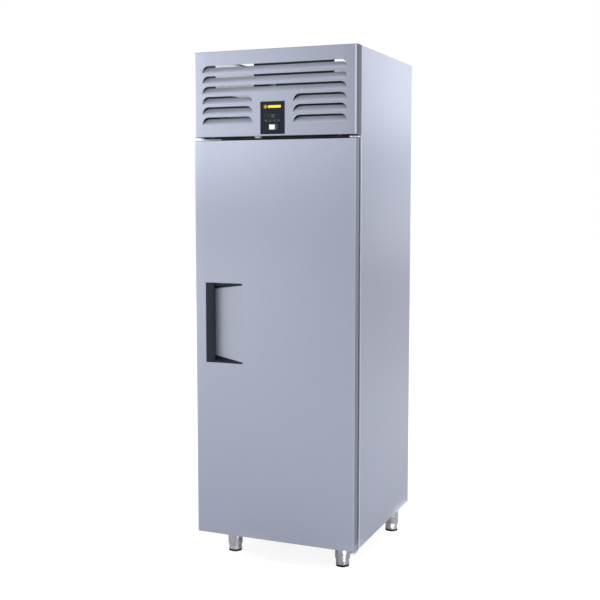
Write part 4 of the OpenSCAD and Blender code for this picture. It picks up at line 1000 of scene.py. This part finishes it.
def finned_pack(lo, hi, pitch, rows):
    """Fins and end plates across X as thin boxes, and the serpentine tube: straight runs
    joined at alternate ends by half circles."""
    plate = 1.5
    count = int((hi[X] - lo[X] - 2 * plate) / pitch)
    fin = prism(rectangle(lo[Y] + 0.4, hi[Y] - 0.4, lo[Z] + 1, hi[Z] - 1), -0.09, 0.09, (Y, Z, X))
    fins = tile(fin, [(lo[X] + plate + (i + 0.5) * pitch, 0, 0) for i in range(count)])
    ends = tile(prism(rectangle(lo[Y], hi[Y], lo[Z], hi[Z], 2), 0, plate, (Y, Z, X)),
                [(lo[X], 0, 0), (hi[X] - plate, 0, 0)])
    y, bend = (lo[Y] + hi[Y]) / 2, (hi[Z] - lo[Z]) / rows / 2
    path = []
    for k in range(rows):
        side = 1 if k % 2 == 0 else -1
        x_in, x_out = (lo[X], hi[X])[::side]
        z = lo[Z] + (2 * k + 1) * bend
        path += [(x_in, y, z), (x_out, y, z)]
        if k < rows - 1:
            path += [(x_out + side * bend * sin(t), y, z + bend - bend * cos(t))
                     for t in np.linspace(0, pi, 9)[1:-1]]
    return join(fins, ends), tube(path, COIL_R, 10)


def fan_blade(root, tip, chord, pitch, depth_mid, sweep):
    """One cambered blade on the axis Z: at radius r and share c of the chord, the angle is
    sweep (r - root) + (c - 1/2) chord cos(pitch) / r, and the height is the middle depth
    + (c - 1/2) chord sin(pitch) + camber (1 - (2c - 1)^2); the pitch falls towards the tip."""
    s = np.linspace(0, 1, 9)[:, None]
    c = np.linspace(0, 1, 9)
    r = root + (tip - root) * s
    wide = chord * (0.72 + 0.5 * s - 0.42 * s ** 6)
    lean = pitch * (1.15 - 0.4 * s)
    bulge = 1 - (2 * c - 1) ** 2
    angle = sweep * s ** 1.3 + (c - 0.5) * wide * np.cos(lean) / r
    height = depth_mid + (c - 0.5) * wide * np.sin(lean) + 0.06 * wide * bulge
    thick = 0.9 * (0.35 + 0.65 * np.sqrt(np.clip(bulge, 0, 1)))
    return skin(*[in_axes(r * np.cos(angle), r * np.sin(angle), height + t * thick)
                  for t in (1, -1)])


def fan_wheel(centre, radius, hub_r, hub_l, axis):
    """Five blades on a domed hub with a recess in its flat end, its axis along +Y or -Z."""
    hub = [(0.2, 0), (hub_r * 0.55, 0.3), (hub_r * 0.86, 1.6), (hub_r * 0.97, 4), (hub_r, 6.5),
           (hub_r, hub_l - 1), (hub_r - 1, hub_l), (hub_r * 0.3, hub_l), (hub_r * 0.3, hub_l - 5),
           (0.2, hub_l - 5)]
    blade = fan_blade(hub_r - 2, radius, radius * 0.62, radians(27), hub_l / 2, 0.25)
    p, f = join(revolved(hub, steps=48), *[turned(blade, k * 2 * pi / 5) for k in range(5)])
    p[:, 2] = np.clip(p[:, 2], -1.8, hub_l + 1.8)
    p = p[:, [0, 2, 1]] * [1, 1, -1] if axis == "+Y" else p * [1, -1, -1]
    return p + centre, f


fins, coil_tube = finned_pack(*CONDENSER, 2.6, 8)
piece("condenser_fins", fins, "fin_aluminium", ["condenser_coil"])
piece("condenser_tube", coil_tube, "copper_tube", ["condenser_coil"])
fins, coil_tube = finned_pack(*EVAPORATOR, 4, 4)
hangers = tile(prism(rectangle(-10, 10, -86, -46, 3), 1655, 1685), [(-193, 0, 0), (193, 0, 0)])
piece("evaporator_fins", join(fins, hangers), "fin_aluminium", ["evaporator_coil"])
piece("evaporator_tube", coil_tube, "copper_tube", ["evaporator_coil"])
piece("condenser_fan_wheel", fan_wheel(CONDENSER_FAN, 100, 28, 26, "+Y"), "moulded_black",
      ["condenser_fan"], "condenser_fan")
piece("evaporator_fan_wheel", fan_wheel(EVAPORATOR_FAN, 85, 22, 22, "-Z"), "moulded_black",
      ["evaporator_fan"], "evaporator_fan")


# PAINTED SHADE AND LIGHT IN THE MACHINE COMPARTMENT AND THE GAP OVER THE DOOR


def painted_shade_baffle():
    """Painted shade: a black plate on the front of the condenser's frame, which closes the way
    past its left end and over its top and stands for the shade seen through the louvres: an
    outline of (x, z) with one thickness."""
    outline = np.array([(-135, 1800), (-62, 1800), (-62, 1994), (216, 1994), (216, 2090),
                        (-135, 2090)])
    return prism(outline, -255.5, -254, (X, Z, Y))


def painted_shade_lining():
    """Painted shade: a black pad on the inner face of the left side, which stands for the shade
    inside the compartment: an outline of (y, z), high at the front and lower round the
    compressor."""
    outline = np.array([(-300, 1758), (355, 1758), (355, 1955), (-185, 1955), (-185, 2080),
                        (-300, 2080)])
    return prism(outline, SHEET - side_hi[X], 5 - side_hi[X], (Y, Z, X), bevel=1)


def painted_light_film():
    """Painted light: a white sheet on the inner face of the left side, over the black pad, which
    stands for the white surroundings seen through the top louvres.
    """
    inner = SHEET - side_hi[X]
    return prism(rectangle(-182, 350, 1957, 2092), inner, inner + 0.2, (Y, Z, X))


def painted_shade_strip():
    """Painted shade: a black strip on the front of the deck, behind the gap over the door, which
    stands for the shade in that gap.
    """
    y = low_high("top_deck")[0][Y]
    return rounded_box((-255, y - 3.5, 1728), (310, y, 1754.5), 1.2)


piece("painted_shade_baffle", painted_shade_baffle(), "black_enamel_and_painted_shade", bevel=0.3)
for side, lining in (("left", painted_shade_lining()), ("right", mirrored(painted_shade_lining()))):
    piece(side + "_painted_shade_lining", lining, "black_rubber_and_painted_shade")
piece("left_side_film", painted_light_film(), "white_plastic")
piece("painted_shade_strip", painted_shade_strip(), "black_rubber_and_painted_shade")


# COMPRESSOR


def compressor_shell():
    """Hermetic shell: two drawn cups welded at a lipped seam, foot plate, terminal cover and
    pipe stubs."""
    lo, hi = low_high("compressor")
    (x, y, z), r, h = COMPRESSOR, COMPRESSOR_R, COMPRESSOR_H
    t = np.linspace(0, QUARTER, 9)
    lower = np.stack([0.97 * r * np.sin(t) ** 0.62, 34 * (1 - np.cos(t))], -1)
    seam = [(0.97 * r, 0.51 * h), (r, 0.52 * h), (r, 0.555 * h), (0.97 * r, 0.565 * h)]
    upper = np.stack([0.97 * r * np.cos(t) ** 0.7, 0.62 * h + 0.38 * h * np.sin(t)], -1)
    profile = np.maximum(np.concatenate([lower, seam, upper]), [0.2, 0])
    plate = prism(rectangle(x - r, x + r, y - 0.8 * r, y + 0.8 * r, 14), z - 3, z + 1, bevel=0.6)
    cover = rounded_box((lo[X], y - 30, z + h / 4), (x - 0.8 * r, y + 30, z + h / 4 + 56), 5)
    stubs = [tube([(x, lo[Y], z + 0.6 * h), (x, y - 0.85 * r, z + 0.6 * h)], 6, 16),
             tube([(x + 0.85 * r, y, z + 0.37 * h), (hi[X], y, z + 0.37 * h)], 6, 16)]
    return join(revolved(profile, COMPRESSOR), plate, cover, *stubs)


piece("compressor_shell", compressor_shell(), "black_enamel_and_painted_shade", ["compressor"])


# CAD NODES THAT STAY, WITH THEIR FINISHES

KEPT = (
    ("side_steel_painted_lighter", "back_panel"),
    ("galvanised_sheet", "base_pan top_deck fan_shroud electrical_box evaporation_tray"),
    ("insulating_foam", "body_insulation door_insulation"),
    ("liner_steel", "liner_left_wall liner_right_wall liner_back_wall shelf_uprights"
                  " door_inner_liner"),
    ("cross_grained_steel", "liner_ceiling liner_floor shelf_runners evaporator_cover drip_tray"),
    ("edge_frame_plastic", "breaker_frame door_edge_frame"),
    ("display_window", "controller_module"),
    ("moulded_black", "switch_housing cord_gland"),
    ("black_enamel_and_painted_shade", "evaporator_motor condenser_motor unit_base fan_guard"),
    ("black_rubber_and_painted_shade", "compressor_mounts"),
    ("copper_tube", "refrigerant_pipes"),
    ("zinc_plate", "upper_hinge_bracket"),
    ("slope_steel_painted_darker", "lower_hinge_bracket"),
    ("white_plastic", "door_switch hinge_bushes"),
    ("rocker_white_with_painted_shade", "rocker"),
    ("key_caps", "key_set key_up key_down key_defrost"))
for finish, node_names in KEPT:
    for node_name in node_names.split():
        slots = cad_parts[node_name].data.materials
        slots.clear()
        slots.append(finishes[finish])


# STAGE, LIGHT AND CAMERA


def add_floor():
    """Pale floor: a diffuse that keeps the shadow, mixed with a white glow for the camera."""
    mesh = bpy.data.meshes.new("floor")
    corners = [(-9.0, -9.0, 0.0), (9.0, -9.0, 0.0), (9.0, 9.0, 0.0), (-9.0, 9.0, 0.0)]
    mesh.from_pydata(corners, [], [[0, 1, 2, 3]])
    material = bpy.data.materials.new("pale_floor")
    material.use_nodes = True
    tree = material.node_tree
    tree.nodes.clear()
    seen = add_node(tree, "LightPath", output="Is Camera Ray")
    share = add_node(tree, "Math", {0: seen, 1: 0.7}, operation="MULTIPLY")
    pale = add_node(tree, "BsdfDiffuse", {"Color": (0.92, 0.92, 0.92, 1)})
    glow = add_node(tree, "Emission", {"Strength": 1.2})
    both = add_node(tree, "MixShader", {0: share, 1: pale, 2: glow})
    feed(tree.nodes.new("ShaderNodeOutputMaterial").inputs["Surface"], both)
    mesh.materials.append(material)
    placed("floor", mesh)


def add_world():
    """White surroundings. Metals see them a little darker towards the horizon, as in a room
    with a white floor and ceiling: 0.78 there, and 1 from a slope of 0.32 up or down."""
    world = bpy.data.worlds.new("studio")
    bpy.context.scene.world = world
    world.use_nodes = True
    tree = world.node_tree
    ray = tree.nodes.new("ShaderNodeLightPath").outputs
    shiny = add_node(tree, "Math",
                     {0: ray["Is Glossy Ray"], 1: ray["Is Transmission Ray"]}, operation="MAXIMUM")
    direction = add_node(tree, "TexCoord", output="Generated")
    slope = add_node(tree, "SeparateXYZ", {"Vector": direction}, "Z")
    slope = add_node(tree, "Math", {0: slope}, operation="ABSOLUTE")
    band = add_node(tree, "MapRange", {"Value": slope, "From Min": 0.02,
                                                 "From Max": 0.32, "To Min": 0.78})
    level = add_node(tree, "MapRange", {"Value": shiny, "To Min": 1.0, "To Max": band})
    back = tree.nodes["Background"].inputs
    feed(back["Color"], (1, 1, 1, 1))
    feed(back["Strength"], level)


def add_lamp(name, place, target, width, height, power, spread=180):
    """Area lamp that looks at a point, its beam as narrow as the spread in degrees."""
    lamp = bpy.data.lights.new(name, "AREA")
    lamp.shape = "RECTANGLE"
    lamp.size, lamp.size_y, lamp.energy = width, height, power
    lamp.spread = radians(spread)
    made = placed(name, lamp)
    made.location = place
    x, y, z = np.array(target) - place
    made.rotation_euler = (atan2(hypot(x, y), -z), 0, atan2(-x, y))


def add_camera():
    """The photograph's view, from a little over half the height, with a slight shift."""
    lens = bpy.data.cameras.new("camera")
    lens.lens = 61.06
    lens.sensor_width = 36
    lens.shift_y = -0.025
    camera = placed("camera", lens)
    camera.location = (1.6423, -4.0773, 1.5356)
    camera.rotation_euler = (radians(90 - 5.174), 0, radians(22.378))
    bpy.context.scene.camera = camera


add_floor()
add_world()
for lamp in (("key_lamp", (-3.2, -4.6, 3.1), (0, -0.3, 1.5), 2.4, 1.8, 28),
             ("left_lamp", (-4.8, -2.6, 3.2), (0, -0.3, 1.2), 2.4, 2.4, 70),
             ("right_lamp", (4.2, -1.5, 2.6), (0.3, -0.1, 1.4), 2.0, 2.4, 38),
             ("low_left_lamp", (-3.4, -4.4, 0.8), (0, -0.3, 0.45), 2.4, 1.2, 14.5),
             ("side_lamp", (2.0, 4.4, 2.8), (0.35, 0, 1.7), 1.6, 1.6, 20),
             ("side_glow", (1.9, 4.4, 1.5), (0.35, 0, 1.3), 1.2, 1.0, 4.5)):
    add_lamp(*lamp)
for foot_name, glint in {"foot_front_left": 0.12, "foot_front_right": 0.16,
                         "foot_back_right": 0.4}.items():
    leg = np.array([*LEGS[foot_name], 50]) * MM
    add_lamp(foot_name + "_lamp", leg + (1.6, -1.5, 0.02), leg, 0.12, 0.06, glint, spread=5)
add_camera()
bpy.context.scene.view_settings.view_transform = "Standard"
